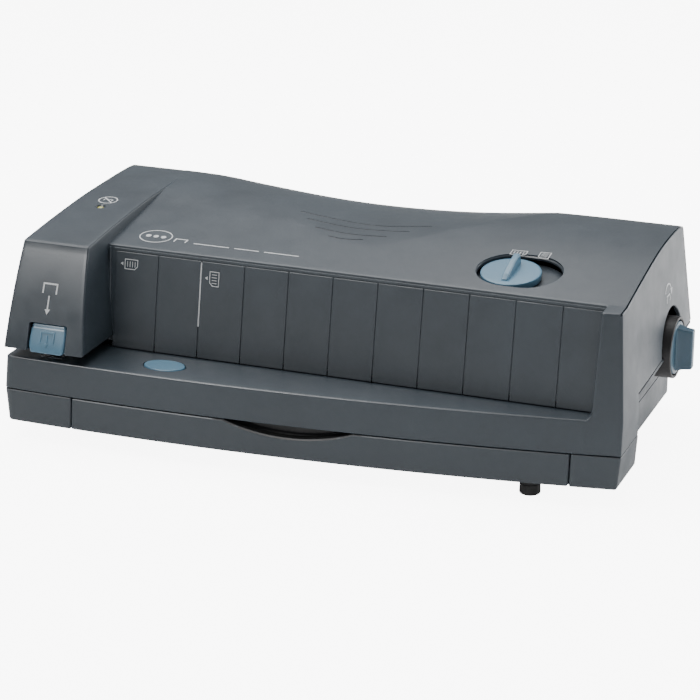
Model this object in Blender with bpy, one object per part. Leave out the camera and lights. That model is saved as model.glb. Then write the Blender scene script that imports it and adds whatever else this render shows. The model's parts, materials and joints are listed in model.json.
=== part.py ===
"""Electric punch and stapler: a free-standing desk machine with a chip tray and a staple drawer.

Lengths below are millimetres in a drawing frame: X runs left to right, Y front to back, Z up from
the desk. at() turns them into metres and puts the origin under the middle of the bounding box.
"""
import math

import bmesh
import bpy
from mathutils import Matrix, Vector

# ---------------------------------------------------------------- driving dimensions (mm)
CENTRE_X = 2.0            # drawing frame to bounding box middle
CENTRE_Y = 5.0
WIDTH_LEFT = -222.0       # left side at the parting line
WIDTH_RIGHT = 204.0       # right side at the parting line
BOW_APEX_X = -150.0       # the front is bowed, most forward here
BOW = 0.000265            # front setback = BOW * (x - BOW_APEX_X) ** 2
FRONT_BOTTOM = -116.0     # front edge at the apex, bottom of the base
FRONT_PARTING = -113.6    # at the parting line
FRONT_DECK = -109.8       # at the deck's front edge
BASE_Z = 12.0
PARTING_Z = 34.5
DECK_Z = 57.0
SLOT_Z = 61.8             # top of the paper slot, bottom of the throat wall
WALL_FOOT_Y = -67.3       # throat wall at the slot
WALL_TOP_Y = -56.0
WALL_TOP_Z = 126.0
BLOCK_REAR_Y = -38.0      # front block ends, narrower body starts
BODY_LEFT = -208.0        # narrower lower body
BODY_RIGHT = 190.0
BODY_REAR = 105.0
COVER_REAR_TOP = 93.0
COVER_REAR = 106.0
SHELL = 2.8               # moulded wall
THROAT_LEFT = -162.0
CHEEK_LEFT = 185.0        # inner face of the right cheek
RIGHT_DRAFT = 0.082       # side walls lean in towards the top
LEFT_DRAFT = 0.048
TOWER_DRAFT = 0.11
TOWER_FLOOR = 66.0        # underside of the stapler tower
GAP = 0.3
TRAY_LEFT = -170.4
TRAY_RIGHT = 171.6
HOLE_PITCH = 107.95       # three hole spacing, 4 1/4 in
PUNCH_X = [-130.4, -22.45, 85.5]
PUNCH_Y = -56.0
PUNCH_R = 3.5
ROD_Y = -30.4
CAM_Y, CAM_Z = -38.0, 100.0
IDLER_Y, IDLER_Z = -8.0, 83.4
MOTOR_Y, MOTOR_Z = 10.0, 72.0
STAPLE_X = -190.0
KNOB_Y, KNOB_Z = 52.0, 65.0
DISC_X, DISC_Y = 110.0, -23.0
FOOT_R = 7.2
TOP_TILT = math.radians(7.6)

COLOURS = {
    "housing": (0.075, 0.092, 0.102), "lower": (0.068, 0.083, 0.092), "black": (0.02, 0.02, 0.022),
    "blue": (0.18, 0.36, 0.48), "rubber": (0.012, 0.012, 0.012), "steel": (0.55, 0.56, 0.58),
    "zinc": (0.42, 0.43, 0.45), "brass": (0.6, 0.45, 0.2), "nylon": (0.75, 0.74, 0.7),
    "board": (0.03, 0.16, 0.07), "lens": (0.35, 0.5, 0.08), "iron": (0.12, 0.12, 0.13),
}
METALS = ("steel", "zinc", "brass", "iron")


# ---------------------------------------------------------------- helpers
def at(x, y, z):
    return Vector(((x + CENTRE_X) / 1000, (y + CENTRE_Y) / 1000, z / 1000))


def clear_scene():
    for item in list(bpy.data.objects):
        bpy.data.objects.remove(item, do_unlink=True)


def material(name, colour):
    mat = bpy.data.materials.new(name + "_material")
    mat.use_nodes = True
    shader = mat.node_tree.nodes["Principled BSDF"]
    shader.inputs["Base Color"].default_value = (*COLOURS[colour], 1)
    shader.inputs["Roughness"].default_value = 0.35 if colour in METALS else 0.55
    shader.inputs["Metallic"].default_value = 1.0 if colour in METALS else 0.0
    return mat


def solid(name, points, faces, colour=None):
    mesh = bpy.data.meshes.new(name)
    mesh.from_pydata([at(*p) for p in points], [], faces)
    work = bmesh.new()
    work.from_mesh(mesh)
    bmesh.ops.recalc_face_normals(work, faces=work.faces)
    work.to_mesh(mesh)
    work.free()
    item = bpy.data.objects.new(name, mesh)
    bpy.context.scene.collection.objects.link(item)
    if colour:
        item.data.materials.append(material(name, colour))
    return item


def loft(name, rings, colour=None):
    """Closed solid through rings of equal length, capped at both ends."""
    count = len(rings[0])
    points = [p for ring in rings for p in ring]
    faces = [tuple(range(count)), tuple(range((len(rings) - 1) * count, len(rings) * count))]
    for k in range(len(rings) - 1):
        for i in range(count):
            j = (i + 1) % count
            faces.append((k * count + i, k * count + j, (k + 1) * count + j, (k + 1) * count + i))
    return solid(name, points, faces, colour)


def prism(name, outline, z0, z1, colour=None):
    return loft(name, [[(x, y, z) for x, y in outline] for z in (z0, z1)], colour)


def along_x(name, profile, x0, x1, colour=None):
    return loft(name, [[(x, y, z) for y, z in profile] for x in (x0, x1)], colour)


def block(name, low, high, colour=None):
    outline = [(low[0], low[1]), (high[0], low[1]), (high[0], high[1]), (low[0], high[1])]
    return prism(name, outline, low[2], high[2], colour)


def circle(radius, sides, squash=1.0):
    steps = [2 * math.pi * (i + 0.5) / sides for i in range(sides)]
    return [(radius * math.cos(a), radius * squash * math.sin(a)) for a in steps]


def rod_x(name, y, z, radius, x0, x1, colour=None, sides=24):
    return along_x(name, [(y + a, z + b) for a, b in circle(radius, sides)], x0, x1, colour)


def rod_z(name, x, y, radius, z0, z1, colour=None, sides=24):
    return prism(name, [(x + a, y + b) for a, b in circle(radius, sides)], z0, z1, colour)


def combine(target, tool, operation):
    step = target.modifiers.new(tool.name, "BOOLEAN")
    step.operation = operation
    step.solver = "EXACT"
    step.object = tool
    tool.hide_render = True
    tool.display_type = "WIRE"


def cut(target, *tools):
    for tool in tools:
        combine(target, tool, "DIFFERENCE")


def join(target, *tools):
    for tool in tools:
        combine(target, tool, "UNION")


def front_y(x, edge):
    return edge + BOW * (x - BOW_APEX_X) ** 2


def bowed(x0, x1, edge, rear, steps=14):
    """Plan outline with a bowed front edge and a straight rear."""
    xs = [x0 + (x1 - x0) * i / steps for i in range(steps + 1)]
    return [(x, front_y(x, edge)) for x in xs] + [(x1, rear), (x0, rear)]


def strip(x0, x1, edge, depth, steps=14):
    """Plan outline of a bowed strip of even depth."""
    xs = [x0 + (x1 - x0) * i / steps for i in range(steps + 1)]
    front = [(x, front_y(x, edge)) for x in xs]
    return front + [(x, front_y(x, edge) + depth) for x in reversed(xs)]


def drafted(ring):
    """Lean the side walls in towards the top."""
    out = []
    for x, y, z in ring:
        if x > 195:
            x -= RIGHT_DRAFT * (z - DECK_Z)
        elif x < -210:
            x += LEFT_DRAFT * (z - PARTING_Z)
        elif -172 < x < -155:
            x -= TOWER_DRAFT * (z - DECK_Z)
        out.append((x, y, z))
    return out


def place(name, x, y, z, *pieces):
    """Empty on a joint's axis that carries a moving group."""
    empty = bpy.data.objects.new(name, None)
    empty.location = at(x, y, z)
    bpy.context.scene.collection.objects.link(empty)
    for piece in pieces:
        piece.parent = empty
        piece.matrix_parent_inverse = Matrix.Translation(-at(x, y, z))
    return empty


# ---------------------------------------------------------------- outer mouldings
TOP_YS = [-54, -30, -8, 14, 35, 52, 70, 84, 93]
TOP_ZS = [127.2, 130.3, 133.1, 135.8, 137.8, 138.7, 139.0, 138.7, 137.6]


def scoop(x, y):
    """Depth of the hollow pressed into the rear of the top."""
    right = 12 + (y + 10) * 0.98
    left = -30 - (y + 10) * 1.17
    if y <= -10 or not left < x < right:
        return 0.0
    across = math.sin(math.pi * (x - left) / (right - left)) ** 1.3
    return 8.2 * ((y + 10) / 103) ** 1.2 * across


def main_ring(x, inset=0.0):
    foot = SLOT_Z if inset == 0 else 50
    ring = [(x, WALL_FOOT_Y + inset, foot), (x, WALL_FOOT_Y + inset, SLOT_Z),
            (x, WALL_TOP_Y + inset, WALL_TOP_Z - inset)]
    if inset == 0:
        ring.pop(0)
    for y, z in zip(TOP_YS, TOP_ZS):
        ring.append((x, min(y + inset, COVER_REAR_TOP - inset), z - scoop(x, y) - inset))
    rear = [(x, COVER_REAR - inset, 67.0), (x, COVER_REAR - inset, 50)]
    return ring + (rear if inset else rear[:1])


def main_block(name, x0, x1, inset=0.0, colour=None):
    xs = [x0, -140, -115, -90, -65, -40, -15, 10, 32, 52, 70, 88, 104, 120, x1]
    return loft(name, [drafted(main_ring(x, inset)) for x in xs], colour)


TOWER_OUT = [(-113.4, 66), (-85.5, 131.2), (-81, 133.4), (-45, 136.6), (2, 139.6), (35, 140.4),
             (68, 140.8), (86, 140.2), (93, 138.0), (106, 66.9), (-56, 61.2), (-56, 66)]
TOWER_IN = [(-109.5, 68.5), (-82.4, 129), (-79.4, 130.6), (-45, 133.8), (2, 136.8), (35, 137.6),
            (66, 138.0), (83, 137.4), (90, 135.5), (103.2, 66.9), (103.2, 50), (-60, 50), (-60, 68.5)]


def stadium(x0, x1, y, radius, sides=12):
    turn = [math.pi * i / sides for i in range(sides + 1)]
    right = [(x1 + radius * math.sin(a), y - radius * math.cos(a)) for a in turn]
    return right + [(x0 - radius * math.sin(a), y + radius * math.cos(a)) for a in turn]


def on_top(item, x, y, z):
    """Tilt a piece drawn flat at (x, y, z) onto the sloping top."""
    pivot = at(x, y, z)
    spin = Matrix.Translation(pivot) @ Matrix.Rotation(TOP_TILT, 4, "X") @ Matrix.Translation(-pivot)
    item.data.transform(spin)
    return item


def upper_cover():
    cover = main_block("upper_cover", -166.0, WIDTH_RIGHT, 0.0, "housing")
    tower = loft("join_tower", [drafted([(x, y, z) for y, z in TOWER_OUT]) for x in (WIDTH_LEFT, -160)])
    cheek_rings = []
    for x, foot, head in ((CHEEK_LEFT, -80.2, -70.6), (WIDTH_RIGHT, -75.9, -69.0)):
        ring = [(x, foot, DECK_Z + GAP), (x, head, 124.2), (x, head + 1.6, 125.6), (x, -50, 127.4)]
        cheek_rings.append(drafted(ring + [(x, -50, DECK_Z + GAP)]))
    join(cover, tower, loft("join_cheek", cheek_rings))
    hollow = main_block("cut_inside", -178.0, WIDTH_RIGHT - SHELL, SHELL)
    in_tower = [drafted([(x, y, z) for y, z in TOWER_IN]) for x in (WIDTH_LEFT + SHELL, -160 - SHELL)]
    inside_cheek = [(-76.4, 50), (-67.4, 121.5), (-50, 121.5), (-50, 50)]
    cheek_in = [drafted([(x, y, z) for y, z in inside_cheek]) for x in (187.6, WIDTH_RIGHT - SHELL - 0.4)]
    cut(cover, hollow, loft("cut_tower", in_tower), loft("cut_cheek", cheek_in))
    cut(cover, block("cut_aperture", (-203.6, -130, 60), (-174.4, -101.8, 84.6)))
    cut(cover, block("cut_staple_exit", (-199, -104.5, 60), (-180, -86, 75)))
    cut(cover, rod_x("cut_knob", KNOB_Y, KNOB_Z, 29.0, 180, 220, sides=48))
    recess = prism("cut_selector", stadium(110.5, 119.5, DISC_Y, 24.2), 110, 150)
    cut(cover, on_top(recess, DISC_X, DISC_Y, 131), rod_z("cut_lens", -194, -13.5, 3.0, 120, 150))
    return cover


def bed_deck():
    rings = []
    for z, edge, right, left in ((PARTING_Z, FRONT_PARTING, 204.3, -222.3), (55.6, -110.6, 204.0, -221.9),
                                 (DECK_Z, FRONT_DECK + 0.6, 202.9, -220.8)):
        rings.append([(x, y, z) for x, y in bowed(left, right, edge, BLOCK_REAR_Y)])
    deck = loft("bed_deck", rings, "housing")
    inner = bowed(-222.3 + SHELL, 204.3 - SHELL, FRONT_PARTING + SHELL + 2.6, -20)
    cut(deck, prism("cut_deck_inside", inner, 20, DECK_Z - SHELL))
    cut(deck, block("cut_rail_bay", (-166.3, -66.3, 40), (188.3, 0, 70)))
    oval = [(-112 + a, -89 + b) for a, b in circle(15.4, 40, 0.68)]
    cut(deck, prism("cut_button", oval, 40, 70))
    cut(deck, block("cut_clincher", (-198.2, -103.2, 55.4), (-181.8, -84.8, 70)))
    return deck


def lower_body():
    side = [(BLOCK_REAR_Y, BASE_Z), (BODY_REAR, BASE_Z), (BODY_REAR, 64.1), (BLOCK_REAR_Y, 57.9)]
    body = along_x("lower_body", side, BODY_LEFT, BODY_RIGHT, "lower")
    front = bowed(-218.6, 202.4, FRONT_BOTTOM + 4.8, BLOCK_REAR_Y + 1)
    join(body, prism("join_floor", front, BASE_Z, 14.4))
    for tag, x0, x1, low0, low1 in (("left", -222.2, -170.9, -219.0, -170.9), ("right", 172.1, 204.3, 172.1, 202.8)):
        rings = [[(x, y, BASE_Z) for x, y in bowed(low0, low1, FRONT_BOTTOM, BLOCK_REAR_Y + 1, 4)],
                 [(x, y, PARTING_Z - GAP) for x, y in bowed(x0, x1, FRONT_PARTING, BLOCK_REAR_Y + 1, 4)]]
        join(body, loft("join_block_" + tag, rings))
    cut(body, block("cut_body", (BODY_LEFT + 2.6, BLOCK_REAR_Y + 2.6, 14.4), (BODY_RIGHT - 2.6, BODY_REAR - 2.6, 90)))
    cut(body, block("cut_front_top", (-203, -45, 50), (185.6, -30, 90)))
    cut(body, rod_x("cut_shaft", KNOB_Y, KNOB_Z, 4.2, 180, 200))
    cut(body, block("cut_inlet", (-164.3, 95, 27.7), (-135.7, 120, 48.3)))
    return body


def ledge():
    """Rim on top of the narrower body that closes the cover from below."""
    slope = [(-37.6, 58.2), (BODY_REAR + 0.6, 64.4), (BODY_REAR + 0.6, 66.6), (-37.6, 60.8)]
    rim = along_x("ledge", slope, -220.6, 203.0, "lower")
    cut(rim, block("cut_ledge", (BODY_LEFT + 2.6, -60, 40), (183.4, BODY_REAR - 2.6, 90)))
    cut(rim, rod_x("cut_bezel", KNOB_Y, KNOB_Z, 21.9, BODY_RIGHT, 220, sides=40))
    cut(rim, rod_x("cut_ledge_shaft", KNOB_Y, KNOB_Z, 4.2, 186.2, 200))
    return rim


def chip_tray():
    tray = prism("chip_tray", strip(TRAY_LEFT, TRAY_RIGHT, FRONT_BOTTOM + 1.2, 3.0), BASE_Z + 0.2, 34.0, "lower")
    box_front = FRONT_BOTTOM + 2.4
    join(tray, prism("join_tray_box", bowed(-166.0, 167.2, box_front, -41.0), 14.8, 33.0))
    join(tray, prism("join_grip", strip(-66, 36, box_front, 13.0, 6), 14.8, 34.0))
    inner = bowed(-164.0, 165.2, box_front + 14.6, -43.0)
    cut(tray, prism("cut_tray", inner, 16.8, 40))
    side_left = bowed(-164.0, -68.0, box_front + 2.6, -60.0, 6)
    side_right = bowed(38.0, 165.2, box_front + 2.6, -60.0, 6)
    cut(tray, prism("cut_tray_left", side_left, 16.8, 40), prism("cut_tray_right", side_right, 16.8, 40))
    arc = []
    for i in range(17):
        a = math.radians(-20.6 + 41.2 * i / 16)
        arc.append((-15 + 136 * math.sin(a), 162 - 136 * math.cos(a)))
    ring0 = [(x, front_y(x, FRONT_BOTTOM) - 6, z) for x, z in arc]
    ring1 = [(x, front_y(x, FRONT_BOTTOM) + 11, z) for x, z in arc]
    cut(tray, loft("cut_grip", [ring0, ring1]))
    return tray


def feet():
    for name, x, y in (("foot_front_left", -190, -79), ("foot_front_right", 144, -79),
                       ("foot_rear_left", -190, 88), ("foot_rear_right", 172, 88)):
        rings = []
        for z, r in ((0.0, FOOT_R - 1.0), (1.0, FOOT_R), (BASE_Z - 0.1, FOOT_R)):
            rings.append([(x + a, y + b, z) for a, b in circle(r, 24)])
        loft(name, rings, "rubber")


def bottom_screws():
    spots = ((-150, -60), (150, -60), (-150, 70), (130, 70))
    for number, (x, y) in enumerate(spots, 1):
        rod_z("bottom_screw_%d" % number, x, y, 3.6, 10.2, BASE_Z - 0.1, "zinc", 16)


# ---------------------------------------------------------------- controls
def bed_button():
    rings = []
    for z, r in ((50.0, 14.9), (56.9, 14.9), (57.7, 14.1)):
        rings.append([(-112 + a, -89 + b, z) for a, b in circle(r, 40, 0.68)])
    button = loft("bed_button", rings, "blue")
    place("bed_button_axis", -112, -89, 57.7, button)


def selector():
    plate = prism("selector_plate", stadium(110.5, 119.5, DISC_Y, 26.5), 123.6, 125.4, "black")
    on_top(plate, DISC_X, DISC_Y, 131)
    rings = []
    for z, r in ((125.8, 20.4), (130.2, 20.4), (131.0, 19.6)):
        rings.append([(DISC_X + a, DISC_Y + b, z) for a, b in circle(r, 40)])
    disc = loft("mode_selector", rings, "blue")
    profile = [(-15.5, 130.0), (-12.5, 133.6), (6, 137.5), (14.5, 137.8), (16.0, 130.0)]
    fin = along_x("join_fin", [(DISC_Y + y, z) for y, z in profile], DISC_X - 2.2, DISC_X + 2.2)
    join(on_top(disc, DISC_X, DISC_Y, 131), on_top(fin, DISC_X, DISC_Y, 131))
    place("mode_selector_axis", DISC_X, DISC_Y, 131, disc)


def knob():
    bezel = rod_x("knob_bezel", KNOB_Y, KNOB_Z, 21.4, BODY_RIGHT + 0.2, 203.6, "black", 40)
    cut(bezel, rod_x("cut_bezel_pocket", KNOB_Y, KNOB_Z, 16.4, 196, 220, sides=40))
    cut(bezel, rod_x("cut_bezel_shaft", KNOB_Y, KNOB_Z, 4.2, 180, 200))
    grip = rod_x("side_knob", KNOB_Y, KNOB_Z, 15.6, 197, 205.4, "blue", 40)
    ring0 = [(204.8, KNOB_Y + y, KNOB_Z + z) for y, z in ((-5.0, -14.6), (5.0, -14.6), (5.0, 14.6), (-5.0, 14.6))]
    ring1 = [(218.0, KNOB_Y + y, KNOB_Z + z) for y, z in ((-3.4, -13.8), (3.4, -13.8), (3.4, 13.8), (-3.4, 13.8))]
    join(grip, loft("join_paddle", [ring0, ring1]))
    shaft = rod_x("knob_shaft", KNOB_Y, KNOB_Z, 4.0, 186.6, 196.8, "zinc", 24)
    place("side_knob_axis", 205, KNOB_Y, KNOB_Z, grip, shaft)


def small_fittings():
    rings = []
    for z, r in ((132.5, 2.8), (138.0, 2.8), (138.7, 2.0)):
        rings.append([(-194 + a, -13.5 + b, z) for a, b in circle(r, 20)])
    loft("status_lens", rings, "lens")
    clincher = block("clincher_plate", (-198, -103, 55.5), (-182, -85, 57.2), "zinc")
    for number, x in enumerate((-194.5, -187.5), 1):
        cut(clincher, block("cut_clinch_%d" % number, (x - 0.8, -93.5, 56.4), (x + 2.8, -88.5, 60)))
    inlet = block("mains_inlet", (-164, 96, 28), (-136, 106.0, 48), "black")
    cut(inlet, block("cut_inlet_socket", (-161, 98.4, 31), (-139, 120, 45)))
    for number, x in enumerate((-154, -146), 1):
        join(inlet, block("join_inlet_pin_%d" % number, (x - 1.2, 98, 36), (x + 1.2, 105.6, 40)))


# ---------------------------------------------------------------- punch mechanism
def die_rail():
    rail = block("die_rail", (-166, -66, 50), (188, -44, 56.8), "steel")
    for number, x in enumerate(PUNCH_X, 1):
        cut(rail, rod_z("cut_die_%d" % number, x, PUNCH_Y, PUNCH_R + 0.1, 40, 70))


def punch_frame():
    frame = block("punch_frame", (-160, -63.5, 62.0), (182, -24, 65.0), "zinc")
    for tag, x in (("left", -160), ("right", 178)):
        join(frame, block("join_post_" + tag, (x, -52, 57.1), (x + 4, -24, 112)))
    for number, x in enumerate(PUNCH_X, 1):
        cut(frame, rod_z("cut_guide_%d" % number, x, PUNCH_Y, PUNCH_R + 0.06, 40, 80))
    cut(frame, rod_x("cut_shaft_bore", CAM_Y, CAM_Z, 4.08, -170, 200))
    for number, x in enumerate((-142, 168), 1):
        cut(frame, rod_z("cut_rod_seat_%d" % number, x, ROD_Y, 2.9, 50, 80))


def punch_bar():
    bar = block("punch_bar", (-150, -58.0, 83.7), (173, -25.4, 93.7), "steel")
    pieces = [bar]
    for number, x in enumerate((-142, 168), 1):
        cut(bar, rod_z("cut_rod_%d" % number, x, ROD_Y, 3.08, 70, 120))
    for number, x in enumerate(PUNCH_X, 1):
        pieces.append(rod_z("punch_pin_%d" % number, x, PUNCH_Y, PUNCH_R, 62.5, 83.6, "steel"))
    place("punch_bar_axis", -22, PUNCH_Y, 83.7, *pieces)


def guide_rods():
    for tag, x in (("left", -142), ("right", 168)):
        rod_z("guide_rod_" + tag, x, ROD_Y, 3.0, 65.1, 110, "steel")
        coil("return_spring_" + tag, x, ROD_Y, 4.6, 65.9, 82.9, 5)


def coil(name, x, y, radius, z0, z1, turns, wire=0.6):
    """Round wire wound into a compression spring."""
    steps = turns * 12
    rings = []
    for i in range(steps + 1):
        a = 2 * math.pi * i / 12
        z = z0 + (z1 - z0) * i / steps
        centre = Vector((x + radius * math.cos(a), y + radius * math.sin(a), z))
        out = Vector((math.cos(a), math.sin(a), 0))
        rings.append([tuple(centre + wire * (math.cos(b) * out + math.sin(b) * Vector((0, 0, 1))))
                      for b in (math.radians(90 * q + 45) for q in range(4))])
    return loft(name, rings, "steel")


def toothed(radius, teeth, depth):
    profile = []
    for i in range(teeth):
        for share, r in ((-0.3, radius - depth), (-0.16, radius), (0.16, radius), (0.3, radius - depth)):
            a = 2 * math.pi * (i + share) / teeth
            profile.append((r * math.cos(a), r * math.sin(a)))
    return profile


def gear(name, y, z, radius, teeth, x0, x1, bore, colour):
    profile = [(y + a, z + b) for a, b in toothed(radius, teeth, 1.6)]
    wheel = along_x(name, profile, x0, x1, colour)
    cut(wheel, rod_x("cut_bore_" + name, y, z, bore, x0 - 5, x1 + 5))
    return wheel


def camshaft():
    shaft = rod_x("camshaft", CAM_Y, CAM_Z, 4.0, -197, 191.5, "steel")
    pieces = [shaft]
    for number, x in enumerate((-82, 58), 1):
        cam = rod_x("punch_cam_%d" % number, CAM_Y, CAM_Z + 5.5, 10.3, x, x + 8, "steel", 32)
        cut(cam, rod_x("cut_cam_%d" % number, CAM_Y, CAM_Z, 4.04, x - 5, x + 15))
        pieces.append(cam)
    pieces.append(gear("cam_gear", CAM_Y, CAM_Z, 18.5, 30, 184, 190, 4.04, "nylon"))
    drive = rod_x("staple_cam", CAM_Y, CAM_Z - 3.2, 7.8, -194, -186, "steel", 32)
    cut(drive, rod_x("cut_staple_cam", CAM_Y, CAM_Z, 4.04, -200, -180))
    pieces.append(drive)
    place("camshaft_axis", 0, CAM_Y, CAM_Z, *pieces)


def drive():
    idler = gear("idler_gear", IDLER_Y, IDLER_Z, 15.5, 25, 184, 190, 2.6, "nylon")
    place("idler_axis", 187, IDLER_Y, IDLER_Z, idler)
    bracket = block("motor_bracket", (178.4, -14, 14.6), (181.4, 34, 96), "zinc")
    join(bracket, block("join_bracket_foot", (150, -14, 14.6), (181.4, 34, 17.4)))
    cut(bracket, rod_x("cut_bracket", MOTOR_Y, MOTOR_Z, 5.0, 170, 190))
    rod_x("idler_pin", IDLER_Y, IDLER_Z, 2.5, 181.6, 191, "steel", 20)
    motor = rod_x("motor", MOTOR_Y, MOTOR_Z, 18.0, 108, 178, "iron", 32)
    join(motor, rod_x("join_motor_boss", MOTOR_Y, MOTOR_Z, 8.0, 102, 110))
    shaft = rod_x("motor_shaft", MOTOR_Y, MOTOR_Z, 1.5, 178.2, 191, "steel", 16)
    pinion = gear("motor_pinion", MOTOR_Y, MOTOR_Z, 5.5, 9, 184, 190, 1.54, "brass")
    place("motor_axis", 187, MOTOR_Y, MOTOR_Z, shaft, pinion)


# ---------------------------------------------------------------- stapler
def staple_frame():
    side = [(-104, 69), (-20, 69), (-20, 118), (-84, 118), (-84, 115)]
    frame = along_x("staple_frame", side, -204, -202.5, "zinc")
    join(frame, along_x("join_frame_right", side, -175.5, -174))
    join(frame, block("join_frame_back", (-204, -22, 69), (-174, -20, 118)))
    cut(frame, rod_x("cut_frame_shaft", CAM_Y, CAM_Z, 4.8, -180, -160))
    for tag, x0 in (("left", -210), ("right", -180)):
        cut(frame, rod_x("cut_lever_pin_" + tag, -60, 110, 2.06, x0, x0 + 12, sides=16))


def staple_drawer():
    rings = []
    front = {65.2: -112.9, 70.0: -111.4, 78.0: -108.0, 83.6: -105.4}
    bulge = {65.2: -11.9, 70.0: -13.2, 78.0: -13.2, 83.6: -12.4}
    for z in (65.2, 70.0, 78.0, 83.6):
        half = -bulge[z]
        y = front[z]
        rings.append([(STAPLE_X + 1 - half, y + 1.4, z), (STAPLE_X + 1 - half + 1.6, y - 0.4, z),
                      (STAPLE_X + 1 + half - 1.6, y - 0.4, z), (STAPLE_X + 1 + half, y + 1.4, z),
                      (STAPLE_X + 1 + half, -104.2, z), (STAPLE_X + 1 - half, -104.2, z)])
    latch = loft("staple_tab", rings, "blue")
    channel = block("staple_magazine", (-200.5, -103.2, 69.2), (-178.5, -33, 82), "black")
    cut(channel, block("cut_magazine", (-198, -89.4, 70.6), (-181, -35, 90)))
    cut(channel, block("cut_blade_way", (-198, -93.2, 60), (-181, -88.6, 90)))
    strip_ = block("staple_strip", (-196, -88.4, 71), (-183, -58, 77.4), "zinc")
    cut(strip_, block("cut_staple_inside", (-195, -100, 60), (-184, -50, 76.5)))
    pusher = block("staple_pusher", (-196, -57.6, 71), (-183, -48, 79), "nylon")
    spring_rings = []
    for i in range(6 * 10 + 1):
        a = 2 * math.pi * i / 10
        y = -47.4 + 11.8 * i / 60
        centre = Vector((-189.5 + 2.4 * math.cos(a), y, 75 + 2.4 * math.sin(a)))
        out = Vector((math.cos(a), 0, math.sin(a)))
        spring_rings.append([tuple(centre + 0.4 * (math.cos(b) * out + math.sin(b) * Vector((0, 1, 0))))
                             for b in (math.radians(90 * q + 45) for q in range(4))])
    spring = loft("pusher_spring", spring_rings, "steel")
    place("staple_drawer_axis", STAPLE_X, -103, 75, latch, channel, strip_, pusher, spring)


def staple_driver():
    blade = block("driver_blade", (-196, -91.6, 82.6), (-183, -90.4, 103.6), "steel")
    place("driver_blade_axis", STAPLE_X, -91, 93, blade)
    arm = [(-92.4, 104.2), (-60, 105.0), (-30, 106.0), (-30, 112), (-56, 115), (-64, 115), (-88.5, 109.5)]
    lever = along_x("staple_lever", arm, -193, -187, "zinc")
    cut(lever, rod_x("cut_lever", -60, 110, 2.06, -200, -180, sides=16))
    place("staple_lever_axis", STAPLE_X, -60, 110, lever)
    rod_x("lever_pin", -60, 110, 2.0, -206, -172.4, "steel", 16)


# ---------------------------------------------------------------- electrics
def electrics():
    block("control_board", (-70, 30, 24), (60, 96, 25.6), "board")
    for number, (x, y) in enumerate(((-64, 36), (54, 36), (-64, 90), (54, 90)), 1):
        rod_z("board_standoff_%d" % number, x, y, 3.0, 14.6, 23.8, "nylon", 12)
    core = block("transformer", (-150, 20, 14.6), (-96, 64, 60), "iron")
    join(core, block("join_winding", (-142, 12, 22), (-104, 72, 54)))
    block("paper_switch", (-70, -43.4, 57.0), (-50, -37.8, 61.0), "black")


def build():
    clear_scene()
    upper_cover()
    bed_deck()
    lower_body()
    ledge()
    chip_tray()
    feet()
    bottom_screws()
    bed_button()
    selector()
    knob()
    small_fittings()
    die_rail()
    punch_frame()
    punch_bar()
    guide_rods()
    camshaft()
    drive()
    staple_frame()
    staple_drawer()
    staple_driver()
    electrics()


build()
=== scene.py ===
"""Finished look of an electric punch and stapler, laid out as an add-on and run as a script.

Lengths are millimetres in a drawing frame: X runs left to right, Y front to back, Z up from the
desk. at() turns them into metres around the middle of the machine.
"""

import json
import math

import bmesh
import bpy
from mathutils import Euler, Matrix, Vector

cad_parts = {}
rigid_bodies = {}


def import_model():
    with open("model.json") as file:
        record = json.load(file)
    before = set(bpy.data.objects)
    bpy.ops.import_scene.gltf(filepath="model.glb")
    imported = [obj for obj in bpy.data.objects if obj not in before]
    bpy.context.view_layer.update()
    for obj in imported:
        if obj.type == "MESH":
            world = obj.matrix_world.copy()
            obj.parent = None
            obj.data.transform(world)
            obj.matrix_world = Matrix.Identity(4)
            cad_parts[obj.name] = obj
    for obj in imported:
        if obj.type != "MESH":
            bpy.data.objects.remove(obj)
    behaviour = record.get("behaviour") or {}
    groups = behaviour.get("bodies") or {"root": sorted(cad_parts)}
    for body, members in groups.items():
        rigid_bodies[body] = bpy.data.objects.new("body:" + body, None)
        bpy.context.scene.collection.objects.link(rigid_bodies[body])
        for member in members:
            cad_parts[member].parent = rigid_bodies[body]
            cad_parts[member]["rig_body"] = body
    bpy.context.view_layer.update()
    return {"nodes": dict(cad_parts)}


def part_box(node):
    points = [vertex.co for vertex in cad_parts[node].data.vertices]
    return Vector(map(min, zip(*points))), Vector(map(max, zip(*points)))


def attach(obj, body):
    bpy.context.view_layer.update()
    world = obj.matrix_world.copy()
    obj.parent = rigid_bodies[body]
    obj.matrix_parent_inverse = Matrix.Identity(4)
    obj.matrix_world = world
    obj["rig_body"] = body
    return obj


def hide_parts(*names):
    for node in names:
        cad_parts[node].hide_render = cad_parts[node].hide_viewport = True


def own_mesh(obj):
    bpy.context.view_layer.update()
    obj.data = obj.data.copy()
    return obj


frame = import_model()

bl_info = {
    "name": "Electric Punch and Stapler",
    "version": (1, 0, 0),
    "blender": (4, 5, 0),
    "location": "View3D > Sidebar > Punch",
    "description": "Builds the mouldings, controls, mechanism and studio of a desk punch and stapler",
    "category": "Object",
}

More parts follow.
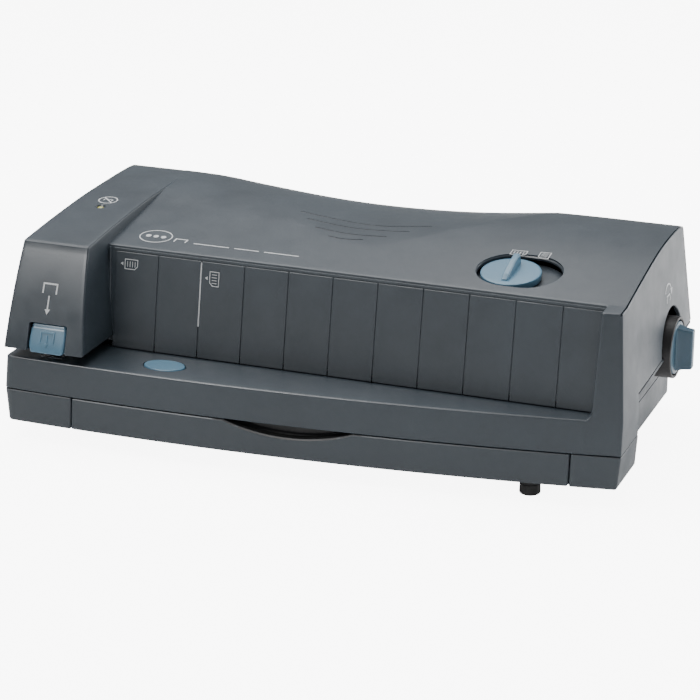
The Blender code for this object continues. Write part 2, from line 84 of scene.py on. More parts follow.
# ---------------------------------------------------------------- driving dimensions (mm)
CENTRE_X = 2.0           # drawing frame to the middle of the machine
CENTRE_Y = 5.0
BOW_APEX_X = -150.0      # the front is bowed, most forward here
BOW = 0.000265           # front setback = BOW * (x - BOW_APEX_X) ** 2
FRONT_BOTTOM = -116.0    # front edge at the apex, at the bottom of the base
FRONT_PARTING = -113.6   # at the parting line
FRONT_DECK = -110.6      # just under the deck's front edge
BASE_Z = 12.0
PARTING_Z = 34.5
DECK_Z = 57.0
SLOT_Z = 61.8            # foot of the throat wall
WALL_FOOT_Y = -67.3
WALL_TOP_Y = -56.0
WALL_TOP_Z = 126.0
BLOCK_REAR_Y = -38.0     # front block ends, narrower body starts
COVER_REAR = 106.0
SHELL = 2.8
LEFT, RIGHT = -222.0, 204.0
TOWER_RIGHT = -160.0
CHEEK_LEFT = 183.2
RIGHT_DRAFT = 0.082      # side walls lean in towards the top
LEFT_DRAFT = 0.048
TOWER_DRAFT = 0.11
TOP_TILT = math.radians(7.6)
PUNCH_X = (-130.4, -22.45, 85.5)
SELECTOR_X, SELECTOR_Y = 110.0, -23.0   # selector disc at the start of its travel
GUIDE_X = -161.4         # left edge of the first wall panel
PANEL_PROUD = 0.65       # panels stand out of the throat wall
SHAFT_HOLE = 4.2         # radius of the knob shaft's holes


def at(x, y, z):
    return Vector(((x + CENTRE_X) / 1000, (y + CENTRE_Y) / 1000, z / 1000))


def span(node):
    """Lowest and highest corner of a CAD node in the drawing frame."""
    low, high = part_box(node)
    shift = Vector((CENTRE_X, CENTRE_Y, 0))
    return low * 1000 - shift, high * 1000 - shift


def middle(node):
    low, high = span(node)
    return (low + high) / 2


DISC = middle("selector_plate")
BUTTON = middle("bed_button")
LENS = middle("status_lens")
KNOB = middle("knob_bezel")


# ---------------------------------------------------------------- settings shown in the sidebar
def colour_setting(label, text, default):
    return bpy.props.FloatVectorProperty(name=label, description=text, subtype="COLOR", size=3, min=0, max=1,
                                         default=default)


def length_setting(label, text, default, low):
    return bpy.props.FloatProperty(name=label, description=text, default=default, min=low, unit="LENGTH")


def power_setting(label, text, default):
    return bpy.props.FloatProperty(name=label, description=text, default=default, min=0, unit="POWER")


class PunchColours(bpy.types.PropertyGroup):
    housing: colour_setting("Housing", "Moulded upper housing", (0.040, 0.053, 0.066))
    base: colour_setting("Base", "Moulded lower case and chip tray", (0.037, 0.049, 0.061))
    controls: colour_setting("Controls", "Tab, button, selector and knob", (0.098, 0.218, 0.320))
    print_ink: colour_setting("Print", "Pad-printed symbols", (0.72, 0.74, 0.75))


class PunchSizes(bpy.types.PropertyGroup):
    panel_count: bpy.props.IntProperty(
        name="Panels", description="Number of panels on the throat wall", default=11, min=1)
    panel_pitch: length_setting("Panel Pitch", "Distance from one groove to the next", 0.03175, 0.005)
    groove: length_setting("Groove", "Width of the grooves between the panels", 0.0006, 0.0001)
    spring_wire: length_setting("Spring Wire", "Diameter of the return springs' wire", 0.0011, 0.0002)
    grain: bpy.props.FloatProperty(
        name="Moulding Grain", description="Strength of the fine texture on the mouldings", default=0.16,
                                   min=0,
        max=1, subtype="FACTOR")


class PunchStudio(bpy.types.PropertyGroup):
    key_power: power_setting("Key Light", "Power of the large overhead light", 40.0)
    side_power: power_setting("Side Light", "Power of the light on the right", 20.0)
    front_power: power_setting("Front Light", "Power of the soft light in front, seen in gloss only", 42.0)
    surround: bpy.props.FloatProperty(
        name="Surround", description="Strength of the light from all round", default=0.34, min=0)
    backdrop: bpy.props.FloatProperty(
        name="Backdrop", description="How far the floor and background are overexposed", default=7.5, min=0)
    floor_sheen: bpy.props.FloatProperty(
        name="Floor Sheen", description="Strength of the floor in reflections", default=0.5, min=0)
    focal_length: bpy.props.FloatProperty(
        name="Focal Length", description="Camera lens in millimetres", default=133.6, min=1)


# ---------------------------------------------------------------- curves and outlines
def blend(a, b, t):
    return a + (b - a) * t


def smooth(low, high, value):
    t = min(1.0, max(0.0, (value - low) / (high - low)))
    return t * t * (3 - 2 * t)


def along(knots, values, where):
    """Smooth curve through the knots, read at one place."""
    k = 0
    while k < len(knots) - 2 and where > knots[k + 1]:
        k += 1
    slopes = []
    for i in (k, k + 1):
        a, b = max(0, i - 1), min(len(knots) - 1, i + 1)
        slopes.append((values[b] - values[a]) / (knots[b] - knots[a]))
    step = knots[k + 1] - knots[k]
    t = (where - knots[k]) / step
    rise = values[k] * (2 * t ** 3 - 3 * t ** 2 + 1) + values[k + 1] * (3 * t ** 2 - 2 * t ** 3)
    return rise + step * (slopes[0] * (t ** 3 - 2 * t ** 2 + t) + slopes[1] * (t ** 3 - t ** 2))


def steps(low, high, count):
    return [low + (high - low) * i / count for i in range(count + 1)]


def filleted(corners, sides=5):
    """Outline through (a, b, radius) corners with each corner rounded."""
    out = []
    total = len(corners)
    for i, (a, b, radius) in enumerate(corners):
        here = Vector((a, b))
        if not radius:
            out.append((a, b))
            continue
        before = (Vector(corners[i - 1][:2]) - here).normalized()
        after = (Vector(corners[(i + 1) % total][:2]) - here).normalized()
        half = before.angle(after) / 2
        reach = radius / math.tan(half)
        centre = here + (before + after).normalized() * radius / math.sin(half)
        start, end = here + before * reach - centre, here + after * reach - centre
        turn = start.angle_signed(end)
        for k in range(sides + 1):
            angle = -turn * k / sides
            spun = Matrix.Rotation(angle, 2) @ start
            out.append(tuple(centre + spun))
    return out


def shrunk(ring, depth):
    """Closed 2-D outline moved inwards; the outline runs anticlockwise."""
    out = []
    count = len(ring)
    for i in range(count):
        here = Vector(ring[i])
        before = here - Vector(ring[i - 1])
        after = Vector(ring[(i + 1) % count]) - here
        if before.length < 1e-6 or after.length < 1e-6:
            out.append(tuple(here))
            continue
        before.normalize()
        after.normalize()
        normal = Vector((-before.y - after.y, before.x + after.x))
        normal.normalize()
        miter = max(0.5, normal.dot(Vector((-before.y, before.x))))
        out.append(tuple(here + normal * depth / miter))
    return out


def area(ring):
    return sum(ring[i - 1][0] * ring[i][1] - ring[i][0] * ring[i - 1][1] for i in range(len(ring))) / 2


def anticlockwise(ring):
    return ring if area(ring) > 0 else ring[::-1]


def round_over(radius, count=4):
    """(distance from the end, inset) pairs of a rounded edge, from the inside out to the end."""
    pairs = []
    for i in range(count + 1):
        angle = math.pi / 2 * i / count
        pairs.append((radius * (1 - math.sin(angle)), radius * (1 - math.cos(angle))))
    return pairs


def edge_rows(low, high, low_edge, high_edge):
    """(place, inset) pairs from one end to the other, with both ends rounded over."""
    start = [(low + d, inset) for d, inset in round_over(low_edge)[::-1]] if low_edge else [(low, 0)]
    return start + ([(high - d, inset) for d, inset in round_over(high_edge)] if high_edge else [(high, 0)])


def rectangle(a0, b0, a1, b1, radius=0, sides=5):
    """Rectangle with all its corners rounded alike."""
    return filleted([(a0, b0, radius), (a1, b0, radius), (a1, b1, radius), (a0, b1, radius)], sides)


def circle(radius, sides, squash=1.0):
    turn = [2 * math.pi * (i + 0.5) / sides for i in range(sides)]
    return [(radius * math.cos(a), radius * squash * math.sin(a)) for a in turn]


def stadium(x0, x1, y, radius, sides=20):
    turn = [math.pi * i / sides for i in range(sides + 1)]
    right = [(x1 + radius * math.sin(a), y - radius * math.cos(a)) for a in turn]
    return right + [(x0 - radius * math.sin(a), y + radius * math.cos(a)) for a in turn]


def front_y(x, edge):
    return edge + BOW * (x - BOW_APEX_X) ** 2


def bowed(x0, x1, edge, rear, count=24):
    xs = steps(x0, x1, count)
    return [(x, front_y(x, edge)) for x in xs] + [(x1, rear), (x0, rear)]


def bowed_round(x0, x1, edge, rear, left, right, count=36):
    """Bowed outline whose front corners are rounded to the radii left and right."""
    inner = steps(x0 + left * 1.6, x1 - right * 1.6, count)
    corners = [(x0, front_y(x0, edge), left)] + [(x, front_y(x, edge), 0) for x in inner]
    corners += [(x1, front_y(x1, edge), right), (x1, rear, 0), (x0, rear, 0)]
    return filleted(corners)


# ---------------------------------------------------------------- meshes
def linked(name, data):
    item = bpy.data.objects.new(name, data)
    bpy.context.scene.collection.objects.link(item)
    return item


def face_outwards(mesh):
    work = bmesh.new()
    work.from_mesh(mesh)
    bmesh.ops.recalc_face_normals(work, faces=work.faces)
    work.to_mesh(mesh)
    work.free()


def mesh_object(name, points, faces, placed=True):
    mesh = bpy.data.meshes.new(name)
    mesh.from_pydata([at(*p) if placed else p for p in points], [], faces)
    face_outwards(mesh)
    return linked(name, mesh)


def loft(name, rings, placed=True):
    """Closed solid through rings of equal length, capped at both ends."""
    count = len(rings[0])
    points = [p for ring in rings for p in ring]
    faces = [tuple(range(count)), tuple(range((len(rings) - 1) * count, len(rings) * count))]
    for k in range(len(rings) - 1):
        for i in range(count):
            j = (i + 1) % count
            faces.append((k * count + i, k * count + j, (k + 1) * count + j, (k + 1) * count + i))
    return mesh_object(name, points, faces, placed)


PLACED = {"X": lambda a, b, level: (level, a, b), "Y": lambda a, b, level: (a, level, b),
          "Z": lambda a, b, level: (a, b, level)}


def stacked(name, outline, rows, axis="Z"):
    """Solid along an axis whose outline is inset at each (place, inset) row."""
    place = PLACED[axis]
    return loft(name, [[place(a, b, level) for a, b in shrunk(outline, inset)] for level, inset in rows])


def prism(name, outline, z0, z1):
    return loft(name, [[(x, y, z) for x, y in outline] for z in (z0, z1)])


def along_x(name, profile, x0, x1):
    return loft(name, [[(x, y, z) for y, z in profile] for x in (x0, x1)])


def block(name, low, high):
    outline = [(low[0], low[1]), (high[0], low[1]), (high[0], high[1]), (low[0], high[1])]
    return prism(name, outline, low[2], high[2])


def rounded_prism(name, outline, z0, z1, low_edge, high_edge):
    """Upright solid with both rims rounded to the given radii."""
    return stacked(name, anticlockwise(outline), edge_rows(z0, z1, low_edge, high_edge))


def turned(name, centre, axis, profile, sides=64):
    """Solid of revolution from (distance along the axis, radius) pairs, closed at both ends."""
    rings = []
    for reach, radius in profile:
        ring = []
        for a, b in circle(radius, sides):
            offset = {"X": (reach, a, b), "Y": (a, reach, b), "Z": (a, b, reach)}[axis]
            ring.append(tuple(c + o for c, o in zip(centre, offset)))
        rings.append(ring)
    return loft(name, rings)


def applied(item):
    """Turn an object's modifiers into its mesh."""
    graph = bpy.context.evaluated_depsgraph_get()
    mesh = bpy.data.meshes.new_from_object(item.evaluated_get(graph))
    item.modifiers.clear()
    item.data = mesh
    return item


def combine(target, operation, *tools):
    for tool in tools:
        step = target.modifiers.new(tool.name, "BOOLEAN")
        step.operation = operation
        step.solver = "EXACT"
        step.object = tool
    applied(target)
    for tool in tools:
        bpy.data.objects.remove(tool)
    tidy = bmesh.new()
    tidy.from_mesh(target.data)
    bmesh.ops.remove_doubles(tidy, verts=tidy.verts, dist=2e-6)
    bmesh.ops.dissolve_degenerate(tidy, edges=tidy.edges, dist=2e-6)
    tidy.to_mesh(target.data)
    tidy.free()
    return target


def cut(target, *tools):
    return combine(target, "DIFFERENCE", *tools)


def join(target, *tools):
    return combine(target, "UNION", *tools)


def bevelled(item, width, segments=3, angle=35):
    step = item.modifiers.new("edges", "BEVEL")
    step.width = width / 1000
    step.segments = segments
    step.limit_method = "ANGLE"
    step.angle_limit = math.radians(angle)
    step.use_clamp_overlap = True
    return applied(item)


def merged(name, items):
    """One object from several separate solids."""
    work = bmesh.new()
    for item in items:
        work.from_mesh(item.data)
        bpy.data.objects.remove(item)
    mesh = bpy.data.meshes.new(name)
    work.to_mesh(mesh)
    work.free()
    return linked(name, mesh)


def settle(item, look, body, nodes=(), slot=None, angle=28):
    """Give a finished piece its material and body, and hide the CAD nodes it stands for."""
    item.data.materials.clear()
    item.data.materials.append(look)
    item.data.shade_smooth()
    item.data.set_sharp_from_angle(angle=math.radians(angle))
    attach(item, body)
    if nodes:
        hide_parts(*nodes)
    if slot or nodes:
        slot or nodes[0]
    return item


def turn_about(item, pivot, turn):
    item.data.transform(Matrix.Translation(pivot) @ turn @ Matrix.Translation(-pivot))


def tilted(item):
    """Lean a piece drawn flat so that it lies on the sloping top."""
    pivot = at(SELECTOR_X, SELECTOR_Y, 131.0)
    turn_about(item, pivot, Matrix.Rotation(TOP_TILT, 4, "X"))
    return item


# ---------------------------------------------------------------- geometry-node trees
def new_tree(name, sockets):
    tree = bpy.data.node_groups.new(name, "GeometryNodeTree")
    for label, kind, value in sockets:
        socket = tree.interface.new_socket(label, in_out="INPUT", socket_type=kind)
        if value is not None:
            socket.default_value = value
    tree.interface.new_socket("Geometry", in_out="OUTPUT", socket_type="NodeSocketGeometry")
    return tree, tree.nodes.new("NodeGroupInput"), tree.nodes.new("NodeGroupOutput")


def wire(tree, *links):
    """Join sockets given as (node, output, node, input)."""
    for source, output, target, entry in links:
        tree.links.new(source.outputs[output], target.inputs[entry])


def end_tree(tree, source, given, result):
    """Every tree ends in real meshes with their material."""
    realize = tree.nodes.new("GeometryNodeRealizeInstances")
    paint = tree.nodes.new("GeometryNodeSetMaterial")
    tree.links.new(source, realize.inputs["Geometry"])
    wire(tree, (realize, "Geometry", paint, "Geometry"), (given, "Material", paint, "Material"),
         (paint, "Geometry", result, "Geometry"))
    return tree


def row_tree():
    """Copies of the object's own mesh in a straight row."""
    tree, given, result = new_tree("punch_row", [
        ("Geometry", "NodeSocketGeometry", None), ("Count", "NodeSocketInt", 2),
        ("Step", "NodeSocketVector", (0.01, 0, 0)), ("Material", "NodeSocketMaterial", None)])
    line = tree.nodes.new("GeometryNodeMeshLine")
    place = tree.nodes.new("GeometryNodeInstanceOnPoints")
    wire(tree, (given, "Count", line, "Count"), (given, "Step", line, "Offset"),
         (line, "Mesh", place, "Points"), (given, "Geometry", place, "Instance"))
    return end_tree(tree, place.outputs["Instances"], given, result)


def scatter_tree():
    """A part on every vertex of the object's own mesh."""
    tree, given, result = new_tree("punch_scatter", [
        ("Geometry", "NodeSocketGeometry", None), ("Part", "NodeSocketObject", None),
        ("Turn", "NodeSocketVector", (0, 0, 0)), ("Material", "NodeSocketMaterial", None)])
    info = tree.nodes.new("GeometryNodeObjectInfo")
    place = tree.nodes.new("GeometryNodeInstanceOnPoints")
    wire(tree, (given, "Part", info, "Object"), (given, "Geometry", place, "Points"),
         (info, "Geometry", place, "Instance"), (given, "Turn", place, "Rotation"))
    return end_tree(tree, place.outputs["Instances"], given, result)


def ring_tree():
    """Copies of the object's own mesh spread evenly round the Z axis."""
    tree, given, result = new_tree("punch_ring", [
        ("Geometry", "NodeSocketGeometry", None), ("Count", "NodeSocketInt", 8),
        ("Radius", "NodeSocketFloat", 0.01), ("Material", "NodeSocketMaterial", None)])
    rim = tree.nodes.new("GeometryNodeMeshCircle")
    place = tree.nodes.new("GeometryNodeInstanceOnPoints")
    spot = tree.nodes.new("GeometryNodeInputPosition")
    aim = tree.nodes.new("FunctionNodeAlignRotationToVector")
    aim.axis = "X"
    wire(tree, (given, "Count", rim, "Vertices"), (given, "Radius", rim, "Radius"),
         (spot, "Position", aim, "Vector"), (rim, "Mesh", place, "Points"),
         (given, "Geometry", place, "Instance"), (aim, "Rotation", place, "Rotation"))
    return end_tree(tree, place.outputs["Instances"], given, result)


def spring_tree():
    """Round wire wound into a helix along Z."""
    tree, given, result = new_tree("punch_spring", [
        ("Geometry", "NodeSocketGeometry", None), ("Turns", "NodeSocketFloat", 6.0),
        ("Radius", "NodeSocketFloat", 0.004), ("Height", "NodeSocketFloat", 0.015),
        ("Wire", "NodeSocketFloat", 0.0005), ("Material", "NodeSocketMaterial", None)])
    helix = tree.nodes.new("GeometryNodeCurveSpiral")
    helix.inputs["Resolution"].default_value = 24
    section = tree.nodes.new("GeometryNodeCurvePrimitiveCircle")
    section.inputs["Resolution"].default_value = 10
    sweep = tree.nodes.new("GeometryNodeCurveToMesh")
    sweep.inputs["Fill Caps"].default_value = True
    wire(tree, (given, "Turns", helix, "Rotations"), (given, "Radius", helix, "Start Radius"),
         (given, "Radius", helix, "End Radius"), (given, "Height", helix, "Height"),
         (given, "Wire", section, "Radius"), (helix, "Curve", sweep, "Curve"),
         (section, "Curve", sweep, "Profile Curve"))
    return end_tree(tree, sweep.outputs["Mesh"], given, result)


def grow(item, tree, values):
    """Run a tree on an object with inputs given by name, and keep the plain mesh."""
    step = item.modifiers.new(tree.name, "NODES")
    step.node_group = tree
    for socket in tree.interface.items_tree:
        if socket.item_type == "SOCKET" and socket.in_out == "INPUT" and socket.name in values:
            step[socket.identifier] = values[socket.name]
    applied(item)
    item.data.update()
    face_outwards(item.data)
    return item


def coil(name, centre, radius, height, turns, wire, look, turn=None):
    item = mesh_object(name, [(0, 0, 0)], [], placed=False)
    grow(item, spring_tree(), {"Turns": turns, "Radius": radius / 1000, "Height": height / 1000,
                               "Wire": wire / 2000, "Material": look})
    if turn:
        item.data.transform(turn.to_matrix().to_4x4())
    item.data.transform(Matrix.Translation(at(*centre)))
    return item


# ---------------------------------------------------------------- finishes
def node(tree, kind, **values):
    item = tree.nodes.new(kind)
    for key, value in values.items():
        item.inputs[key.replace("_", " ")].default_value = value
    return item


def noise(tree, place, scale, detail=3.0):
    item = node(tree, "ShaderNodeTexNoise", Scale=scale, Detail=detail, Roughness=0.55)
    tree.links.new(place, item.inputs["Vector"])
    return item.outputs["Fac"]


def ranged(tree, value, low, high, from_low=0.3, from_high=0.7):
    item = node(tree, "ShaderNodeMapRange")
    for index, number in ((1, from_low), (2, from_high), (3, low), (4, high)):
        item.inputs[index].default_value = number
    tree.links.new(value, item.inputs[0])
    return item.outputs[0]


def mixed(tree, factor, first, second):
    item = tree.nodes.new("ShaderNodeMix")
    item.data_type = "RGBA"
    item.inputs[6].default_value = (*first, 1)
    item.inputs[7].default_value = (*second, 1)
    tree.links.new(factor, item.inputs[0])
    return item


def sharp_edge_mask(tree, radius):
    """1 on edges sharper than the radius, 0 on flats: the mask for edge wear and painted edge highlight."""
    bevel = tree.nodes.new("ShaderNodeBevel")
    bevel.samples = 4
    bevel.inputs["Radius"].default_value = radius
    shape = tree.nodes.new("ShaderNodeNewGeometry")
    dot = tree.nodes.new("ShaderNodeVectorMath")
    dot.operation = "DOT_PRODUCT"
    tree.links.new(bevel.outputs["Normal"], dot.inputs[0])
    tree.links.new(shape.outputs["Normal"], dot.inputs[1])
    return ranged(tree, dot.outputs["Value"], 1.0, 0.0, 0.72, 0.97)


def scaled(colour, factor):
    return tuple(min(1.0, c * factor) for c in colour)


def base_material(name):
    look = bpy.data.materials.new(name)
    look.use_nodes = True
    tree = look.node_tree
    place = tree.nodes.new("ShaderNodeTexCoord").outputs["Object"]
    return look, tree, tree.nodes["Principled BSDF"], place


def bump(tree, shader, height, strength, distance=0.0002):
    item = node(tree, "ShaderNodeBump", Strength=strength, Distance=distance)
    tree.links.new(height, item.inputs["Height"])
    tree.links.new(item.outputs["Normal"], shader.inputs["Normal"])


def surfaced(tree, shader, colour, rough, height, strength, distance=0.0002):
    """Lead the patterns into the shader."""
    tree.links.new(colour, shader.inputs["Base Color"])
    tree.links.new(rough, shader.inputs["Roughness"])
    bump(tree, shader, height, strength, distance)


def moulded(name, colour, rough=0.42, grain=0.16, grain_scale=2600, variation=0.10, wear_and_highlight=0.0, coat=0.0):
    """Moulded plastic: spark-eroded grain, slight flow variation, and sharp edges lightened, partly as scuffing
    and partly as a painted highlight.
    """
    look, tree, shader, place = base_material(name)
    flow = noise(tree, place, 14.0, 4.0)
    fine = noise(tree, place, grain_scale, 2.0)
    tone = mixed(tree, ranged(tree, flow, 0.0, 1.0), scaled(colour, 1 - variation),
                 scaled(colour, 1 + variation))
    speck = mixed(tree, ranged(tree, fine, 0.0, 1.0, 0.25, 0.75), (0.90, 0.90, 0.90), (1.08, 1.08, 1.08))
    both = tree.nodes.new("ShaderNodeMix")
    both.data_type = "RGBA"
    both.blend_type = "MULTIPLY"
    both.inputs[0].default_value = 1.0
    tree.links.new(tone.outputs[2], both.inputs[6])
    tree.links.new(speck.outputs[2], both.inputs[7])
    result = both.outputs[2]
    if wear_and_highlight:
        edge = sharp_edge_mask(tree, 0.0007)
        edge_breakup_noise = noise(tree, place, 220.0, 5.0)
        share = node(tree, "ShaderNodeMath")
        share.operation = "MULTIPLY"
        tree.links.new(edge, share.inputs[0])
        tree.links.new(ranged(tree, edge_breakup_noise, wear_and_highlight * 0.5, wear_and_highlight), share.inputs[1])
        # Edges lightened up to 3.4 times the plastic's colour: partly scuffed wear, partly a painted highlight
        # along the edges.
        final = mixed(tree, share.outputs[0], colour, scaled(colour, 3.4))
        tree.links.new(result, final.inputs[6])
        result = final.outputs[2]
    shader.inputs["Specular IOR Level"].default_value = 0.5
    shader.inputs["Coat Weight"].default_value = coat
    shader.inputs["Coat Roughness"].default_value = 0.25
    uneven = ranged(tree, noise(tree, place, 55.0), rough - 0.05, rough + 0.06)
    surfaced(tree, shader, result, uneven, fine, grain)
    return look


def metal(name, colour, rough=0.32, brush=(1, 1, 1), scale=600, stain=0.25, strength=0.12):
    """Bare or plated metal, brushed along one axis where the brush scale is uneven."""
    look, tree, shader, place = base_material(name)
    stretch = node(tree, "ShaderNodeMapping", Scale=brush)
    tree.links.new(place, stretch.inputs["Vector"])
    line = noise(tree, stretch.outputs["Vector"], scale, 3.0)
    cloud = noise(tree, place, 40.0, 4.0)
    tone = mixed(tree, ranged(tree, cloud, 0.0, 1.0), scaled(colour, 1 - stain), colour)
    shader.inputs["Metallic"].default_value = 1.0
    uneven = ranged(tree, line, rough - 0.08, rough + 0.12)
    surfaced(tree, shader, tone.outputs[2], uneven, line, strength, 0.0001)
    return look


def rubber(name):
    look, tree, shader, place = base_material(name)
    dust = noise(tree, place, 90.0, 5.0)
    tone = mixed(tree, ranged(tree, dust, 0.0, 1.0), (0.010, 0.010, 0.011), (0.024, 0.024, 0.025))
    surfaced(tree, shader, tone.outputs[2], ranged(tree, dust, 0.55, 0.8), noise(tree, place, 1800.0), 0.25)
    return look


def lens_material(name):
    look, tree, shader, place = base_material(name)
    depth = noise(tree, place, 900.0, 2.0)
    tone = mixed(tree, ranged(tree, depth, 0.0, 1.0), (0.22, 0.24, 0.03), (0.46, 0.44, 0.08))
    shader.inputs["Emission Color"].default_value = (0.55, 0.50, 0.06, 1)
    shader.inputs["Emission Strength"].default_value = 0.12
    shader.inputs["Coat Weight"].default_value = 0.6
    surfaced(tree, shader, tone.outputs[2], ranged(tree, depth, 0.12, 0.22), depth, 0.05)
    return look


def board_material(name):
    """Green solder mask over copper tracks."""
    look, tree, shader, place = base_material(name)
    tracks = node(tree, "ShaderNodeTexBrick", Scale=110.0, Mortar_Size=0.035, Bias=0.0, Brick_Width=0.7,
                  Row_Height=0.22)
    tracks.inputs["Color1"].default_value = (0.012, 0.085, 0.030, 1)
    tracks.inputs["Color2"].default_value = (0.016, 0.105, 0.038, 1)
    tracks.inputs["Mortar"].default_value = (0.035, 0.200, 0.070, 1)
    tree.links.new(place, tracks.inputs["Vector"])
    uneven = ranged(tree, noise(tree, place, 300.0), 0.25, 0.42)
    surfaced(tree, shader, tracks.outputs["Color"], uneven, tracks.outputs["Fac"], 0.2)
    return look


def ink(name, colour):
    """Pad-printed ink, slightly uneven at its edges."""
    look, tree, shader, place = base_material(name)
    patch = noise(tree, place, 1500.0, 4.0)
    tone = mixed(tree, ranged(tree, patch, 0.0, 1.0), scaled(colour, 0.82), colour)
    surfaced(tree, shader, tone.outputs[2], ranged(tree, patch, 0.45, 0.62), patch, 0.08)
    return look


LOOKS = {}


def look(name):
    """Each finish is made once and shared."""
    if name not in LOOKS:
        colours = bpy.context.scene.punch_colours
        grain = bpy.context.scene.punch_sizes.grain
        makers = {
            "housing": lambda: moulded("housing_plastic", tuple(colours.housing), 0.37, grain, wear_and_highlight=0.48),
            "panels": lambda: moulded("panel_plastic", tuple(colours.housing), 0.44, grain, wear_and_highlight=0.25),
            "base": lambda: moulded("base_plastic", tuple(colours.base), 0.42, grain, wear_and_highlight=0.30),
            "blue": lambda: moulded("control_plastic", tuple(colours.controls), 0.36, 0.10, wear_and_highlight=0.18,
                                    coat=0.12),
            # Control blue darkened to about half: painted shade on the knob.
            "knob": lambda: moulded("knob_plastic_painted_shade", scaled(tuple(colours.controls), 0.52), 0.34, 0.10,
                                    wear_and_highlight=0.5, coat=0.1),
            "black": lambda: moulded("black_plastic", (0.012, 0.012, 0.013), 0.46, 0.2, variation=0.15),
            # Darker copy of the moulding for the finger grip's recess: painted shade.
            "dark": lambda: moulded("recess_plastic_painted_shade", (0.020, 0.022, 0.024), 0.5, 0.2, variation=0.15),
            "nylon": lambda: moulded("natural_nylon", (0.62, 0.60, 0.53), 0.38, 0.06, 1200, 0.06),
            "pusher": lambda: moulded("pusher_plastic", (0.045, 0.050, 0.055), 0.4, 0.1),
            "resin": lambda: moulded("winding_tape", (0.42, 0.27, 0.05), 0.35, 0.15, 900, 0.2),
            "ink": lambda: ink("white_print", tuple(colours.print_ink)),
            "rubber": lambda: rubber("foot_rubber"),
            "lens": lambda: lens_material("amber_lens"),
            "board": lambda: board_material("circuit_board"),
            "steel": lambda: metal("ground_steel", (0.58, 0.58, 0.60), 0.26, (0.05, 1, 1)),
            "zinc": lambda: metal("plated_sheet", (0.50, 0.51, 0.54), 0.36, (1, 1, 1), 260),
            "spring": lambda: metal("spring_wire", (0.60, 0.60, 0.62), 0.22, (1, 1, 1), 1500),
            "brass": lambda: metal("brass", (0.66, 0.48, 0.20), 0.25, (1, 1, 0.1)),
            "iron": lambda: metal("painted_can", (0.20, 0.20, 0.21), 0.45, (1, 0.1, 1), 400),
            "staple": lambda: metal("staple_wire", (0.62, 0.63, 0.66), 0.24, (1, 0.02, 1), 900),
        }
        LOOKS[name] = makers[name]()
    return LOOKS[name]


# ---------------------------------------------------------------- upper housing
TOP_YS = (-54, -30, -8, 14, 35, 52, 70, 84, 93)
TOP_ZS = (127.2, 130.3, 133.1, 135.8, 137.8, 138.7, 139.0, 138.7, 137.6)
TOWER_YS = (-81, -45, 2, 35, 68, 86, 93)
TOWER_ZS = (133.4, 136.6, 139.6, 140.4, 140.7, 140.1, 138.4)
SCOOP_FRONT = -10.0
REAR_EDGE = 93.0


def scoop_right(y):
    return 12 + (max(y, SCOOP_FRONT) - SCOOP_FRONT) * 0.98


def scoop_left(y):
    return -30 - (max(y, SCOOP_FRONT) - SCOOP_FRONT) * 1.17


def scoop(x, y):
    """Depth of the hollow pressed into the rear of the top, with a crisp right-hand edge."""
    right, left = scoop_right(y), scoop_left(y)
    if y <= SCOOP_FRONT or not left < x < right:
        return 0.0
    t = (x - left) / (right - left)
    across = math.sin(math.pi * t) ** 1.3
    if t > 0.5:
        across = blend(across, 1 - (2 * t - 1) ** 2.4, 0.55)
    return 8.2 * ((y - SCOOP_FRONT) / 103) ** 1.2 * across


def top_z(x, y):
    """Height of the top, which rises to meet the tower at its rear left corner."""
    reach = min(max(y, TOP_YS[0]), REAR_EDGE)
    plain = along(TOP_YS, TOP_ZS, reach)
    tower = along(TOWER_YS, TOWER_ZS, reach)
    share = smooth(14, 66, y) * (1 - smooth(-166, -112, x))
    plain += (1.9 * math.sin(math.pi * (reach + 54) / 190) if reach > -54 else 0.0) * smooth(30, 150, x)
    return plain + (tower - plain) * share - scoop(x, reach)


def side_shift(x, z):
    """How far the right-hand wall leans in."""
    return RIGHT_DRAFT * (z - DECK_Z) * min(1.0, max(0.0, (x - 120) / (RIGHT - 120)))


def top_columns(y):
    """Stations across the top that follow both edges of the scoop."""
    left, right = scoop_left(min(y, REAR_EDGE)), scoop_right(min(y, REAR_EDGE))
    ends = [0.9, 0.5, 0.2, 0.05, 0.0]
    columns = steps(-166, left, 24)[:-1] + steps(left, right, 56)[:-1]
    return columns + steps(right, RIGHT - 1.4, 30) + [RIGHT - d for d in ends]


def top_profile(x_at):
    """Front wall, top and rear of the main block at one column, as (x, y, z)."""
    rows = [(WALL_FOOT_Y, SLOT_Z)]
    rows += [(blend(WALL_FOOT_Y, WALL_TOP_Y, t), blend(SLOT_Z, WALL_TOP_Z, t)) for t in steps(0.1, 0.97, 9)]
    rows += [(-55.75, 126.6), (-55.2, 127.0)]
    profile = [(x_at(y), y, z) for y, z in rows]
    for y in steps(-54, 89, 58):
        profile.append((x_at(y), y, top_z(x_at(y), y)))
    x = x_at(REAR_EDGE)
    crest = top_z(x, 89)
    for y, drop in ((90.6, 0.25), (92.0, 0.75), (93.1, 1.7), (93.9, 3.2)):
        profile.append((x, y, crest - drop))
    for t in steps(0.0, 1.0, 8)[1:]:
        profile.append((x, blend(93.9, COVER_REAR, t), blend(crest - 3.2, 67.0, t)))
    return profile


def main_shell():
    rings = []
    total = len(top_columns(0))
    for i in range(total):
        ring = top_profile(lambda y: top_columns(y)[i])
        reach = RIGHT - ring[0][0]
        inset = 0.9 - math.sqrt(max(0.0, 0.81 - (0.9 - reach) ** 2)) if reach < 0.9 else 0.0
        section = [(y, z) for _, y, z in ring]
        flat = shrunk(section, -inset if area(section) < 0 else inset)
        placed = []
        for (x, _, _), (y, z) in zip(ring, flat):
            lean = TOWER_DRAFT * (z - DECK_Z) * (1 - smooth(-166, -130, x))
            placed.append((x - side_shift(x, z) - lean, y, z))
        rings.append(placed)
    return loft("housing", rings)


def tower_front(z):
    """Crowned face of the stapler tower."""
    t = (z - 66.0) / 65.5
    return blend(-113.4, -85.5, t) - 8.0 * t * (1 - t)


